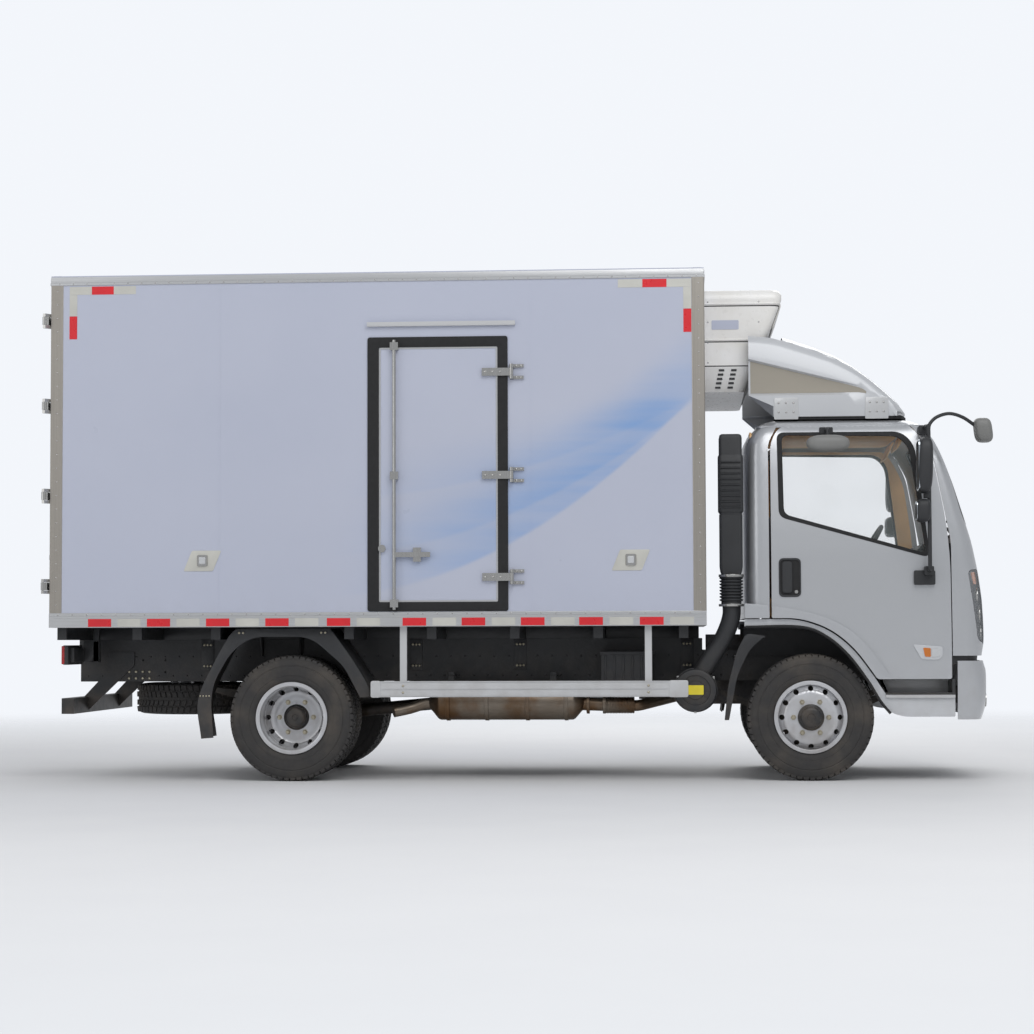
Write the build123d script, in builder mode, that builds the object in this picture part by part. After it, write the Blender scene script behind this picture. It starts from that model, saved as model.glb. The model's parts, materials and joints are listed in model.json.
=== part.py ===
from build123d import *
import os

# Refrigerated truck in millimetres: x forward, y left, z up, the ground at z = 0.
# Places along x are counted from the front axle, forward positive.

# Driving dimensions of the whole truck
WHEELBASE = 3308
REAR_AXLE = -WHEELBASE
REAR_OVERHANG = 1550
FRONT_REACH = 1155
BOX_REAR = REAR_AXLE - REAR_OVERHANG
REAR_HARDWARE = 50
FRONT_AXLE_X = (REAR_HARDWARE - BOX_REAR - FRONT_REACH) / 2
SHUT_GAP = 6
PIN_PLAY = 0.4

# Wheels and axles
TYRE_R = 402
TYRE_HALF_W = 105
BEAD_R = 214
BEAD_HALF_W = 78
FLANGE_R = 230
RIM_HALF_W = 90
RIM_INNER_R = 205
DISC_OFFSET = 125
DISC_T = 12
HUB_R = 58
SPINDLE_R = 30
HAND_HOLES = 12
HAND_HOLE_R = 15
HAND_HOLE_CIRCLE = 184
STUDS = 6
STUD_CIRCLE_R = 111
STUD_R = 12
FRONT_WHEEL_Y = 840
TWIN_Y = 795
KINGPIN_Y = 700
KINGPIN_R = 17
STEER_ARM = 180
TIE_ROD_Z = 318
TIE_PIN_R = 10
REAR_TUBE_R = 60
REAR_SPINDLE_R = 45
DIFF_R = 165
PINION_REACH = 250

# Chassis
RAIL_OUTER = 420
RAIL_FLANGE = 65
RAIL_T = 7
RAIL_BOTTOM = 628
RAIL_TOP = 826
RAIL_FRONT = 900
RAIL_REAR = BOX_REAR + 30
SILL_TOP = 906
SPRING_HALF_W = 35
SPRING_Y = RAIL_OUTER
TILT_X = 820
TILT_Z = 700
TILT_TUBE_R = 20
TOW_BORE_R = 16
TOW_PLATE_T = 24
TOW_X = RAIL_REAR + 93
BRACKET_HOLES_X = RAIL_REAR + 498
BRACKET_HOLES_Z = 730
BRACKET_PITCH_X = 150
BRACKET_PITCH_Z = 80
BRACKET_HOLE_R = 7

# Insulated box
BOX_FRONT = -658
BOX_HALF_W = 1120
BOX_BOTTOM = 985
BOX_TOP = 3252
WALL = 80
FLOOR_T = 92
DECK = BOX_BOTTOM + FLOOR_T
DECK_PLATE_T = 6
CEILING = BOX_TOP - WALL
REAR_POST_W = 70
HEADER_H = 80
HINGE_BACK = 35
HINGE_OUT = 30
HINGE_PIN_R = 7
HINGE_EYE_R = 13
STRAP_H = 50
STRAP_T = 12

# Side door, on the right of the box and hinged at its front edge
SIDE_DOOR_X = (-2790, -1915)
SIDE_DOOR_Z = (DECK + 8, 2815)
SIDE_HINGE_X = -1879
SIDE_HINGE_Z = (1296, 1943, 2600)
SIDE_ROD_X = -2629
SIDE_HANDLE_Z = 1440
SIDE_EDGE_TAPER = 16
ROD_R = 12
ROD_STANDOFF = 26

# Rear doors
REAR_HINGE_Z = (1250, 1830, 2410, 2960)
REAR_ROD_Y = (250, 760)
REAR_LEAF_FROM = 7

# Cab
CAB_REAR = -414
CAB_HALF_W = 985
CAB_WALL = 80
CAB_ROOF = 2305
CAB_CEILING = 2268
CAB_FRONT_WALL = 60
WAIST = 1450
DOOR_REAR = -242
DOOR_SWING_ROOM = 14
DOOR_FRONT = 885
DOOR_TOP = CAB_CEILING - SHUT_GAP
SILL_Z = 643
ARCH_TOP = 1030
PANEL_BOTTOM = 789
DECK_Z = 1000
PLATE = 25
FOOT_X = (470, 905)
FOOT_Z = 640
TUNNEL_HALF_W = 465
BUMPER_Z = (388, 757)
BUMPER_FRONT = 1137
GLASS_T = 5

SIDE = Plane(origin=(FRONT_AXLE_X, 0, 0), x_dir=(1, 0, 0), z_dir=(0, -1, 0))
CROSS = Plane(origin=(FRONT_AXLE_X, 0, 0), x_dir=(0, 1, 0), z_dir=(1, 0, 0))
PLAN = Plane(origin=(FRONT_AXLE_X, 0, 0))


def place(x, y, z):
    """A point given from the front axle, in the truck's own frame."""
    return (FRONT_AXLE_X + x, y, z)


def on(side, pair):
    """A (low, high) pair on the left, or its mirror image on the right where side is -1."""
    return tuple(sorted((side * pair[0], side * pair[1])))


def block(x, y, z, mode=Mode.ADD):
    """A box between (low, high) pairs along x, y and z."""
    with Locations(place((x[0] + x[1]) / 2, (y[0] + y[1]) / 2, (z[0] + z[1]) / 2)):
        Box(x[1] - x[0], y[1] - y[0], z[1] - z[0], mode=mode)


def rod(start, end, radius, mode=Mode.ADD):
    """A round bar between two points."""
    first = Vector(*place(*start))
    run = Vector(*place(*end)) - first
    with Locations(Plane(origin=first + run / 2, z_dir=run)):
        Cylinder(radius, run.length, mode=mode)


def outline(plane, points):
    """A closed straight-sided face on a plane."""
    with BuildSketch(plane) as face:
        with BuildLine():
            Polyline(*points, close=True)
        make_face()
    return face.sketch


def slab(points, y, mode=Mode.ADD):
    """A side outline of (x, z) points, filled from y[0] to y[1]."""
    extrude(outline(SIDE.offset(-y[1]), points), amount=y[1] - y[0], mode=mode)


def cross_slab(points, x, mode=Mode.ADD):
    """A front outline of (y, z) points, filled from x[0] to x[1]."""
    extrude(outline(CROSS.offset(x[0]), points), amount=x[1] - x[0], mode=mode)


def plan_slab(points, z, mode=Mode.ADD):
    """A plan outline of (x, y) points, filled from z[0] to z[1]."""
    extrude(outline(PLAN.offset(z[0]), points), amount=z[1] - z[0], mode=mode)


def lean_slab(points, y, lean):
    """A side outline at y[0] that has moved by lean, in x and z, by the time it reaches y[1]."""
    run = Vector(lean[0], y[1] - y[0], lean[1])
    extrude(outline(SIDE.offset(-y[0]), points), amount=run.length, dir=run)


def axle_plane(x, y, side):
    """A plane through a wheel's axis: across it is outward along the axle, up is radius."""
    return Plane(origin=place(x, y, TYRE_R), x_dir=(0, side, 0), z_dir=(side, 0, 0))


def turned(plane, points, mode=Mode.ADD):
    """A ring from (outward, radius) points, turned about the wheel's axis."""
    revolve(outline(plane, points), axis=Axis(plane.origin, plane.x_dir), mode=mode)


def mirrored(points):
    """A left half outline of (y, z) points closed with its right half."""
    return points + [(-y, z) for y, z in reversed(points)]


def finish(piece, name):
    """Names a finished piece and writes it."""
    piece.part.label = name
    export_step(piece.part, f"parts/{name}.step")


os.makedirs("parts", exist_ok=True)

# Tyres: one on each front wheel, twins at the rear


def tyre(plane, shift):
    """A tyre whose middle lies shift outward of the plane's origin."""
    shoulder = TYRE_HALF_W - 13
    with BuildSketch(plane) as section:
        with BuildLine():
            Line((shift - BEAD_HALF_W, BEAD_R), (shift + BEAD_HALF_W, BEAD_R))
            for out in (1, -1):
                bead = (shift + out * BEAD_HALF_W, BEAD_R)
                toe = (shift + out * BEAD_HALF_W, FLANGE_R + 2)
                bulge = (shift + out * TYRE_HALF_W, (FLANGE_R + TYRE_R) / 2 - 6)
                edge = (shift + out * shoulder, TYRE_R - 24)
                crown = (shift + out * (shoulder - 18), TYRE_R - 4)
                Line(bead, toe)
                ThreePointArc(toe, bulge, edge)
                Line(edge, crown)
            ThreePointArc(
                (shift - shoulder + 18, TYRE_R - 4), (shift, TYRE_R), (shift + shoulder - 18, TYRE_R - 4)
            )
        make_face()
    revolve(section.sketch, axis=Axis(plane.origin, plane.x_dir))


def rim(plane, middle, out):
    """A steel rim and disc; out is 1 where its disc bulges outward and -1 where it is dished."""
    barrel = [
        (-RIM_HALF_W, RIM_INNER_R), (-RIM_HALF_W, FLANGE_R), (-BEAD_HALF_W, FLANGE_R),
        (-BEAD_HALF_W, BEAD_R), (BEAD_HALF_W, BEAD_R), (BEAD_HALF_W, FLANGE_R),
        (RIM_HALF_W, FLANGE_R), (RIM_HALF_W, RIM_INNER_R),
    ]
    knee = HAND_HOLE_CIRCLE - HAND_HOLE_R - 4
    face = DISC_OFFSET - DISC_T
    disc = [
        (62, RIM_INNER_R + 1), (80, RIM_INNER_R + 1), (DISC_OFFSET, knee), (DISC_OFFSET, HUB_R - 3),
        (face, HUB_R - 3), (face, knee - 8),
    ]
    turned(plane, [(middle + t, r) for t, r in barrel])
    turned(plane, [(middle + out * t, r) for t, r in disc])


def hand_holes(x, y, side):
    """The round of holes through the discs."""
    with Locations(Plane(origin=place(x, y, TYRE_R), z_dir=(0, side, 0))):
        with PolarLocations(HAND_HOLE_CIRCLE, HAND_HOLES):
            Cylinder(HAND_HOLE_R, 4 * DISC_OFFSET, mode=Mode.SUBTRACT)


def studs(x, y, side, low, high):
    """Wheel nuts on the disc, from low to high outward of the plane."""
    with Locations(Plane(origin=place(x, y + side * (low + high) / 2, TYRE_R), z_dir=(0, side, 0))):
        with PolarLocations(STUD_CIRCLE_R, STUDS):
            Cylinder(STUD_R, high - low)


FRONT_HUB_END = DISC_OFFSET + 45
REAR_HUB_END = 85
SPINDLE_END = DISC_OFFSET + 20

for name, side in (("left", 1), ("right", -1)):
    front = axle_plane(0, side * FRONT_WHEEL_Y, side)
    rear = axle_plane(REAR_AXLE, side * TWIN_Y, side)

    with BuildPart() as front_tyre:
        tyre(front, 0)
    finish(front_tyre, f"front_tyre_{name}")

    with BuildPart() as front_rim:
        rim(front, 0, 1)
        hand_holes(0, side * FRONT_WHEEL_Y, side)
        studs(0, side * FRONT_WHEEL_Y, side, DISC_OFFSET - 2, DISC_OFFSET + 24)
        bore = SPINDLE_R + PIN_PLAY
        turned(front, [
            (-40, bore), (-40, HUB_R), (DISC_OFFSET + 4, HUB_R), (FRONT_HUB_END, HUB_R - 14),
            (FRONT_HUB_END, 0), (SPINDLE_END + 5, 0), (SPINDLE_END + 5, bore),
        ])
        turned(front, [(-66, 138), (-66, 152), (14, 152), (14, HUB_R - 8), (2, HUB_R - 8), (2, 138)])
    finish(front_rim, f"front_rim_{name}")

    with BuildPart() as rear_tyres:
        tyre(rear, DISC_OFFSET)
        tyre(rear, -DISC_OFFSET)
    finish(rear_tyres, f"rear_tyres_{name}")

    with BuildPart() as rear_rims:
        rim(rear, DISC_OFFSET, -1)
        rim(rear, -DISC_OFFSET, 1)
        hand_holes(REAR_AXLE, side * TWIN_Y, side)
        studs(REAR_AXLE, side * TWIN_Y, side, DISC_T - 2, DISC_T + 24)
        bore = REAR_SPINDLE_R + PIN_PLAY
        turned(rear, [
            (-60, bore), (-60, HUB_R), (DISC_T + 8, HUB_R), (DISC_T + 12, HUB_R - 6),
            (REAR_HUB_END, HUB_R - 8), (REAR_HUB_END, 0), (REAR_HUB_END - 15, 0), (REAR_HUB_END - 15, bore),
        ])
        turned(rear, [(-170, 148), (-170, 162), (-30, 162), (-30, HUB_R - 4), (-42, HUB_R - 4), (-42, 148)])
    finish(rear_rims, f"rear_rims_{name}")

    # Steering knuckle: a yoke about the kingpin, the spindle, a backing plate and the steering arm
    eye_low = TYRE_R - 40
    eye_high = TYRE_R + 40
    lug_t = 36
    with BuildPart() as knuckle:
        centre = side * KINGPIN_Y
        for low in (eye_low - 4 - lug_t, eye_high + 4):
            rod((0, centre, low), (0, centre, low + lug_t), 34)
            block((-30, 30), on(side, (KINGPIN_Y, KINGPIN_Y + 58)), (low, low + lug_t))
        yoke_z = (eye_low - 4 - lug_t, eye_high + 4 + lug_t)
        block((-40, 40), on(side, (KINGPIN_Y + 40, KINGPIN_Y + 58)), yoke_z)
        rod((0, centre, eye_low - 40), (0, centre, eye_high + 40), KINGPIN_R)
        backing = KINGPIN_Y + 58
        rod((0, side * (backing - 8), TYRE_R), (0, side * backing, TYRE_R), 150)
        rod((0, side * backing, TYRE_R), (0, side * (FRONT_WHEEL_Y + SPINDLE_END), TYRE_R), SPINDLE_R)
        arm_low = eye_low - 4 - lug_t
        block((-STEER_ARM, 0), on(side, (KINGPIN_Y - 16, KINGPIN_Y + 16)), (arm_low + 8, arm_low + 28))
        rod((-STEER_ARM, centre, arm_low + 8), (-STEER_ARM, centre, arm_low + 28), 22)
        rod((-STEER_ARM, centre, TIE_ROD_Z - 24), (-STEER_ARM, centre, arm_low + 8), TIE_PIN_R)
    finish(knuckle, f"knuckle_{name}")

with BuildPart() as tie_rod:
    rod((-STEER_ARM, -KINGPIN_Y, TIE_ROD_Z - 15), (-STEER_ARM, -KINGPIN_Y, TIE_ROD_Z + 4), 20)
    rod((-STEER_ARM, KINGPIN_Y, TIE_ROD_Z - 15), (-STEER_ARM, KINGPIN_Y, TIE_ROD_Z + 4), 20)
    rod((-STEER_ARM, -KINGPIN_Y, TIE_ROD_Z - 6), (-STEER_ARM, KINGPIN_Y, TIE_ROD_Z - 6), 9)
    for side in (1, -1):
        pin = side * KINGPIN_Y
        hole_r = TIE_PIN_R + 1
        rod((-STEER_ARM, pin, TIE_ROD_Z - 40), (-STEER_ARM, pin, TIE_ROD_Z + 40), hole_r, Mode.SUBTRACT)
finish(tie_rod, "tie_rod")

PAD_TOP = 385
with BuildPart() as front_axle:
    half = [(KINGPIN_Y - 20, TYRE_R - 30), (KINGPIN_Y - 20, TYRE_R + 30), (SPRING_Y + 90, PAD_TOP)]
    lower = [(-SPRING_Y - 110, PAD_TOP - 85), (SPRING_Y + 110, PAD_TOP - 85)]
    cross_slab(half + [(-y, z) for y, z in reversed(half)] + lower, (-38, 38))
    for side in (1, -1):
        pin = side * KINGPIN_Y
        rod((0, pin, TYRE_R - 40), (0, pin, TYRE_R + 40), 34)
        rod((0, pin, TYRE_R - 60), (0, pin, TYRE_R + 60), KINGPIN_R + PIN_PLAY, Mode.SUBTRACT)
finish(front_axle, "front_axle")

REAR_PAD = TYRE_R + REAR_TUBE_R
with BuildPart() as rear_axle:
    plate_y = TWIN_Y - 170 - 9
    rod((REAR_AXLE, -plate_y, TYRE_R), (REAR_AXLE, plate_y, TYRE_R), REAR_TUBE_R)
    rod((REAR_AXLE, -TWIN_Y - 60, TYRE_R), (REAR_AXLE, TWIN_Y + 60, TYRE_R), REAR_SPINDLE_R)
    with Locations(place(REAR_AXLE, 0, TYRE_R)):
        Sphere(DIFF_R)
    rod((REAR_AXLE, 0, TYRE_R), (REAR_AXLE + PINION_REACH, 0, TYRE_R + 12), 70)
    for side in (1, -1):
        rod((REAR_AXLE, side * (plate_y - 8), TYRE_R), (REAR_AXLE, side * plate_y, TYRE_R), 150)
        pad = on(side, (SPRING_Y - SPRING_HALF_W, SPRING_Y + SPRING_HALF_W))
        block((REAR_AXLE - 60, REAR_AXLE + 60), pad, (TYRE_R, REAR_PAD))
finish(rear_axle, "rear_axle")


def leaf_spring(middle, side, reach, seat, thick, rise):
    """A bowed pack of leaves with its hanger at each end, under one rail."""
    with BuildSketch(SIDE.offset(-side * SPRING_Y)) as bow:
        with BuildLine():
            ThreePointArc((middle - reach, seat + rise), (middle, seat), (middle + reach, seat + rise))
            Line((middle + reach, seat + rise), (middle + reach, seat + rise + 22))
            ThreePointArc(
                (middle + reach, seat + rise + 22), (middle, seat + thick),
                (middle - reach, seat + rise + 22),
            )
            Line((middle - reach, seat + rise + 22), (middle - reach, seat + rise))
        make_face()
    extrude(bow.sketch, amount=SPRING_HALF_W, both=True)
    wide = on(side, (SPRING_Y - SPRING_HALF_W, SPRING_Y + SPRING_HALF_W))
    for end in (-1, 1):
        hanger = sorted((middle + end * (reach - 20), middle + end * (reach + 20)))
        block(hanger, wide, (seat + rise, RAIL_BOTTOM))


with BuildPart() as leaf_springs:
    for side in (1, -1):
        leaf_spring(0, side, 580, PAD_TOP, 70, 170)
        leaf_spring(REAR_AXLE, side, 650, REAR_PAD, 90, 110)
finish(leaf_springs, "leaf_springs")

# Chassis: a ladder frame of two channel rails, with the tube that the cab tilts on
WEB_INNER = RAIL_OUTER - RAIL_T
SPARE_X = REAR_AXLE - 822
CROSS_MEMBERS = (
    560, -1250, -1900, REAR_AXLE + 708, REAR_AXLE + 308, REAR_AXLE - 392, SPARE_X, TOW_X + 75,
)
MEMBER_HALF = 40
MEMBER_Z = (RAIL_BOTTOM + 32, RAIL_TOP - 36)

with BuildPart() as ladder_frame:
    for side in (1, -1):
        lip = side * (RAIL_OUTER - RAIL_FLANGE)
        web = side * WEB_INNER
        outer = side * RAIL_OUTER
        cross_slab([
            (outer, RAIL_BOTTOM), (outer, RAIL_TOP), (lip, RAIL_TOP), (lip, RAIL_TOP - RAIL_T),
            (web, RAIL_TOP - RAIL_T), (web, RAIL_BOTTOM + RAIL_T), (lip, RAIL_BOTTOM + RAIL_T),
            (lip, RAIL_BOTTOM),
        ], (RAIL_REAR, RAIL_FRONT))
    for x in CROSS_MEMBERS:
        block((x - MEMBER_HALF, x + MEMBER_HALF), (-WEB_INNER - 1, WEB_INNER + 1), MEMBER_Z)
    tube_y = TUNNEL_HALF_W - 4
    rod((TILT_X, -tube_y, TILT_Z), (TILT_X, tube_y, TILT_Z), TILT_TUBE_R)
    # Draw plate with the bore for a tow pin, which goes in from below, ahead of the underrun guard
    tow_z = (MEMBER_Z[0], MEMBER_Z[0] + TOW_PLATE_T)
    block((TOW_X - 45, CROSS_MEMBERS[-1]), (-70, 70), tow_z)
    rod((TOW_X, 0, tow_z[0] - 5), (TOW_X, 0, tow_z[1] + 5), TOW_BORE_R, Mode.SUBTRACT)
    # Bolt holes through both rail webs for a tow bracket or a tail lift
    for x in (BRACKET_HOLES_X - BRACKET_PITCH_X / 2, BRACKET_HOLES_X + BRACKET_PITCH_X / 2):
        for z in (BRACKET_HOLES_Z - BRACKET_PITCH_Z / 2, BRACKET_HOLES_Z + BRACKET_PITCH_Z / 2):
            rod((x, -RAIL_OUTER - 5, z), (x, RAIL_OUTER + 5, z), BRACKET_HOLE_R, Mode.SUBTRACT)
finish(ladder_frame, "ladder_frame")

BEARERS = (
    BOX_REAR + 68, REAR_AXLE - 992, REAR_AXLE - 482, REAR_AXLE + 378, -2400, -1870, -1340, -800,
)
with BuildPart() as box_sills:
    for side in (1, -1):
        sill = on(side, (RAIL_OUTER - RAIL_FLANGE, RAIL_OUTER))
        block((BOX_REAR + 20, BOX_FRONT - 20), sill, (RAIL_TOP, SILL_TOP))
finish(box_sills, "box_sills")

with BuildPart() as box_bearers:
    for x in BEARERS:
        block((x - 30, x + 30), (-1060, 1060), (SILL_TOP, BOX_BOTTOM))
finish(box_bearers, "box_bearers")

ENGINE_X = (-650, 250)
ENGINE_Z = (470, 930)
with BuildPart() as driveline:
    block(ENGINE_X, (-290, 290), ENGINE_Z)
    block((-1100, ENGINE_X[0]), (-170, 170), (500, 800))
    rod((-1090, 0, 600), (REAR_AXLE + PINION_REACH + 6, 0, TYRE_R + 14), 42)
    for side in (1, -1):
        block((-220, -120), on(side, (280, WEB_INNER)), (700, 770))
finish(driveline, "driveline")

EXHAUST_Y = -600
EXHAUST_Z = 489
MUFFLER_R = 112
CLEANER = (-727, 574)
CLEANER_R = 136
DOWNPIPE_ROOM = 595
MUFFLER_X = (REAR_AXLE + 860, CLEANER[0] - CLEANER_R - DOWNPIPE_ROOM)
with BuildPart() as exhaust_system:
    tail, nose = MUFFLER_X
    rod((tail, EXHAUST_Y, EXHAUST_Z), (nose, EXHAUST_Y, EXHAUST_Z), MUFFLER_R)
    rod((tail - 72, EXHAUST_Y, EXHAUST_Z), (tail + 8, EXHAUST_Y, EXHAUST_Z), 70)
    rod((tail - 244, EXHAUST_Y - 60, 428), (tail - 52, EXHAUST_Y, 470), 36)
    rod((nose - 12, EXHAUST_Y, 475), (nose + 308, EXHAUST_Y, 465), 48)
    rod((nose + 298, EXHAUST_Y, 465), (nose + 598, -330, 520), 36)
    strap_z = (EXHAUST_Z + MUFFLER_R - 25, RAIL_BOTTOM + 40)
    for x in (tail + 198, nose - 192):
        block((x - 20, x + 20), (EXHAUST_Y - 20, -RAIL_OUTER), strap_z)
finish(exhaust_system, "exhaust_system")

# Air intake: a louvred stack behind the cab, a hose and a round air cleaner
SNORKEL_X = (-568, CAB_REAR - 8)
SNORKEL_Y = (-980, -830)
HOSE_R = 62
with BuildPart() as air_intake:
    block(SNORKEL_X, SNORKEL_Y, (1300, 2204))
    for step in range(9):
        low = 1730 + 34 * step
        slot_x = (SNORKEL_X[0] + 20, SNORKEL_X[1] - 20)
        block(slot_x, (SNORKEL_Y[0] - 1, SNORKEL_Y[0] + 14), (low, low + 16), Mode.SUBTRACT)
    stack_y = sum(SNORKEL_Y) / 2
    stack_x = sum(SNORKEL_X) / 2
    bend = (stack_x, stack_y, 1080)
    elbow = (-640, stack_y, 830)
    rod((stack_x, stack_y, 1310), bend, HOSE_R)
    rod(bend, elbow, HOSE_R)
    rod(elbow, (CLEANER[0], stack_y + 40, CLEANER[1] + 60), HOSE_R)
    for joint in (bend, elbow):
        with Locations(place(*joint)):
            Sphere(HOSE_R)
    rod((CLEANER[0], -950, CLEANER[1]), (CLEANER[0], -560, CLEANER[1]), CLEANER_R)
    block((CLEANER[0] - 40, CLEANER[0] + 40), (-600, -RAIL_OUTER), (RAIL_BOTTOM + 10, RAIL_BOTTOM + 60))
finish(air_intake, "air_intake")

GUARD_X = (REAR_AXLE + 525, -776)
GUARD_Z = (537, 638)
GUARD_Y = (1072, 1100)
with BuildPart() as side_guards:
    for side in (1, -1):
        block(GUARD_X, on(side, GUARD_Y), GUARD_Z)
        for x in (GUARD_X[0] + 204, GUARD_X[1] - 247):
            hanger_y = on(side, (GUARD_Y[0] - 20, GUARD_Y[0] + 5))
            block((x - 22, x + 22), hanger_y, (GUARD_Z[0] + 20, BOX_BOTTOM))
finish(side_guards, "side_guards")

UNDERRUN_Z = (425, 527)
# From the box's tail, forward
UNDERRUN_BRACKET = [(394, 822), (218, 822), (218, 700), (48, 520), (48, 440), (88, 440), (394, 735)]
with BuildPart() as rear_underrun_guard:
    block((BOX_REAR + 8, BOX_REAR + 88), (-830, 830), UNDERRUN_Z)
    for side in (1, -1):
        slab([(BOX_REAR + x, z) for x, z in UNDERRUN_BRACKET], on(side, (RAIL_OUTER, RAIL_OUTER + 12)))
finish(rear_underrun_guard, "rear_underrun_guard")

with BuildPart() as tail_lamps:
    for side in (1, -1):
        block((BOX_REAR + 44, BOX_REAR + 88), on(side, (600, 980)), (744, 874))
        block((BOX_REAR + 88, BOX_REAR + 218), on(side, (650, 690)), (760, 900))
        block((BOX_REAR + 178, BOX_REAR + 218), on(side, (650, 690)), (760, BOX_BOTTOM))
finish(tail_lamps, "tail_lamps")


def sheet(points, thick, y):
    """A bent sheet: the points are its outer line, and it is thick towards the line's right."""
    inner = offset_line(points, thick)
    slab(points + inner[::-1], y)


def offset_line(points, thick):
    """The same line moved sideways, each corner kept at its mitre."""
    normals = []
    for (x0, z0), (x1, z1) in zip(points, points[1:]):
        run = Vector(x1 - x0, z1 - z0).normalized()
        normals.append(Vector(run.Y, -run.X))
    moved = []
    for index, (x, z) in enumerate(points):
        before = normals[max(index - 1, 0)]
        after = normals[min(index, len(normals) - 1)]
        mitre = (before + after) * (thick / (1 + before.dot(after)))
        moved.append((x + mitre.X, z + mitre.Y))
    return moved


GUARD_SHEET = 8
# From the rear axle, forward
REAR_ARCH = [(-576, 275), (-597, 518), (-492, 760), (-339, 962), (277, 962), (408, 760), (508, 536)]
FRONT_FLAP = [(-530, 385), (-509, 607), (-444, 829), (-285, 910)]
with BuildPart() as mudguards:
    for side in (1, -1):
        sheet([(REAR_AXLE + x, z) for x, z in REAR_ARCH], GUARD_SHEET, on(side, (570, TWIN_Y + 255)))
        stay = REAR_ARCH[3][1] - GUARD_SHEET
        stay_x = (REAR_AXLE - 50, REAR_AXLE - 10)
        block(stay_x, on(side, (RAIL_OUTER, 1030)), (stay - 24, stay))
        block(stay_x, on(side, (RAIL_OUTER, RAIL_OUTER + 10)), (RAIL_TOP + 10, stay))
        sheet(FRONT_FLAP, GUARD_SHEET, on(side, (735, 985)))
        block((-480, -455), on(side, (RAIL_OUTER, 975)), (768, 792))
finish(mudguards, "mudguards")

TANK_X = (REAR_AXLE + 1008, REAR_AXLE + 2008)
with BuildPart() as fuel_tank:
    block(TANK_X, (RAIL_OUTER, 900), (420, 800))
    fillet(fuel_tank.edges().filter_by(Axis.X), 60)
    with Locations(place(TANK_X[1] - 180, 760, 805)):
        Cylinder(45, 40)
finish(fuel_tank, "fuel_tank")

with BuildPart() as battery_box:
    block((-1330, -1000), (-820, -RAIL_OUTER), (620, 815))
finish(battery_box, "battery_box")

SPARE_Z = 510
with BuildPart() as spare_wheel:
    flat = Plane(origin=place(SPARE_X, 0, SPARE_Z), x_dir=(0, 0, 1), z_dir=(0, 1, 0))
    tyre(flat, 0)
    rim(flat, 0, 1)
    with Locations(place(SPARE_X, 0, SPARE_Z)):
        with PolarLocations(HAND_HOLE_CIRCLE, HAND_HOLES):
            Cylinder(HAND_HOLE_R, 4 * DISC_OFFSET, mode=Mode.SUBTRACT)
    with Locations(place(SPARE_X, 0, (SPARE_Z + DISC_OFFSET - DISC_T + MEMBER_Z[0]) / 2)):
        Cylinder(HUB_R + 10, MEMBER_Z[0] - SPARE_Z - DISC_OFFSET + DISC_T)
finish(spare_wheel, "spare_wheel")

# Insulated box: six thick panels, a rear frame and three doors
INNER_HALF_W = BOX_HALF_W - WALL
OPEN_HALF_W = BOX_HALF_W - REAR_POST_W
OPEN_TOP = CEILING - HEADER_H

with BuildPart() as box_floor:
    block((BOX_REAR, BOX_FRONT), (-BOX_HALF_W, BOX_HALF_W), (BOX_BOTTOM, DECK))
    # The deck plate lies between the walls and the closed rear doors
    inset = WALL + SHUT_GAP
    deck_half_w = BOX_HALF_W - inset
    block((BOX_REAR + inset, BOX_FRONT - inset), (-deck_half_w, deck_half_w), (DECK, DECK + DECK_PLATE_T))
finish(box_floor, "box_floor")

with BuildPart() as box_roof:
    block((BOX_REAR, BOX_FRONT), (-BOX_HALF_W, BOX_HALF_W), (CEILING, BOX_TOP))
finish(box_roof, "box_roof")

WALL_X = (BOX_REAR + WALL, BOX_FRONT - WALL)
with BuildPart() as box_wall_left:
    block(WALL_X, (INNER_HALF_W, BOX_HALF_W), (DECK, CEILING))
finish(box_wall_left, "box_wall_left")

SIDE_HINGE_Y = -(BOX_HALF_W + HINGE_BACK)
with BuildPart() as box_wall_right:
    block(WALL_X, (-BOX_HALF_W, -INNER_HALF_W), (DECK, CEILING))
    block(SIDE_DOOR_X, (-BOX_HALF_W - 5, -INNER_HALF_W + 5), SIDE_DOOR_Z, Mode.SUBTRACT)
    for z in SIDE_HINGE_Z:
        half = STRAP_H / 2 + 22
        for low, high in ((z - half, z - half + 20), (z + half - 20, z + half)):
            block((SIDE_HINGE_X - 12, SIDE_HINGE_X + 75), (-BOX_HALF_W - 12, -BOX_HALF_W), (low, high))
            block((SIDE_HINGE_X - 12, SIDE_HINGE_X + 12), (SIDE_HINGE_Y, -BOX_HALF_W), (low, high))
            rod((SIDE_HINGE_X, SIDE_HINGE_Y, low), (SIDE_HINGE_X, SIDE_HINGE_Y, high), 12)
        rod((SIDE_HINGE_X, SIDE_HINGE_Y, z - half), (SIDE_HINGE_X, SIDE_HINGE_Y, z + half), HINGE_PIN_R)
    # Rain gutter over the side door
    block((SIDE_DOOR_X[0] - 12, SIDE_DOOR_X[1] + 57), (-BOX_HALF_W - 22, -BOX_HALF_W), (2900, 2922))
finish(box_wall_right, "box_wall_right")

with BuildPart() as box_front_wall:
    block((BOX_FRONT - WALL, BOX_FRONT), (-BOX_HALF_W, BOX_HALF_W), (DECK, CEILING))
finish(box_front_wall, "box_front_wall")

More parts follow.
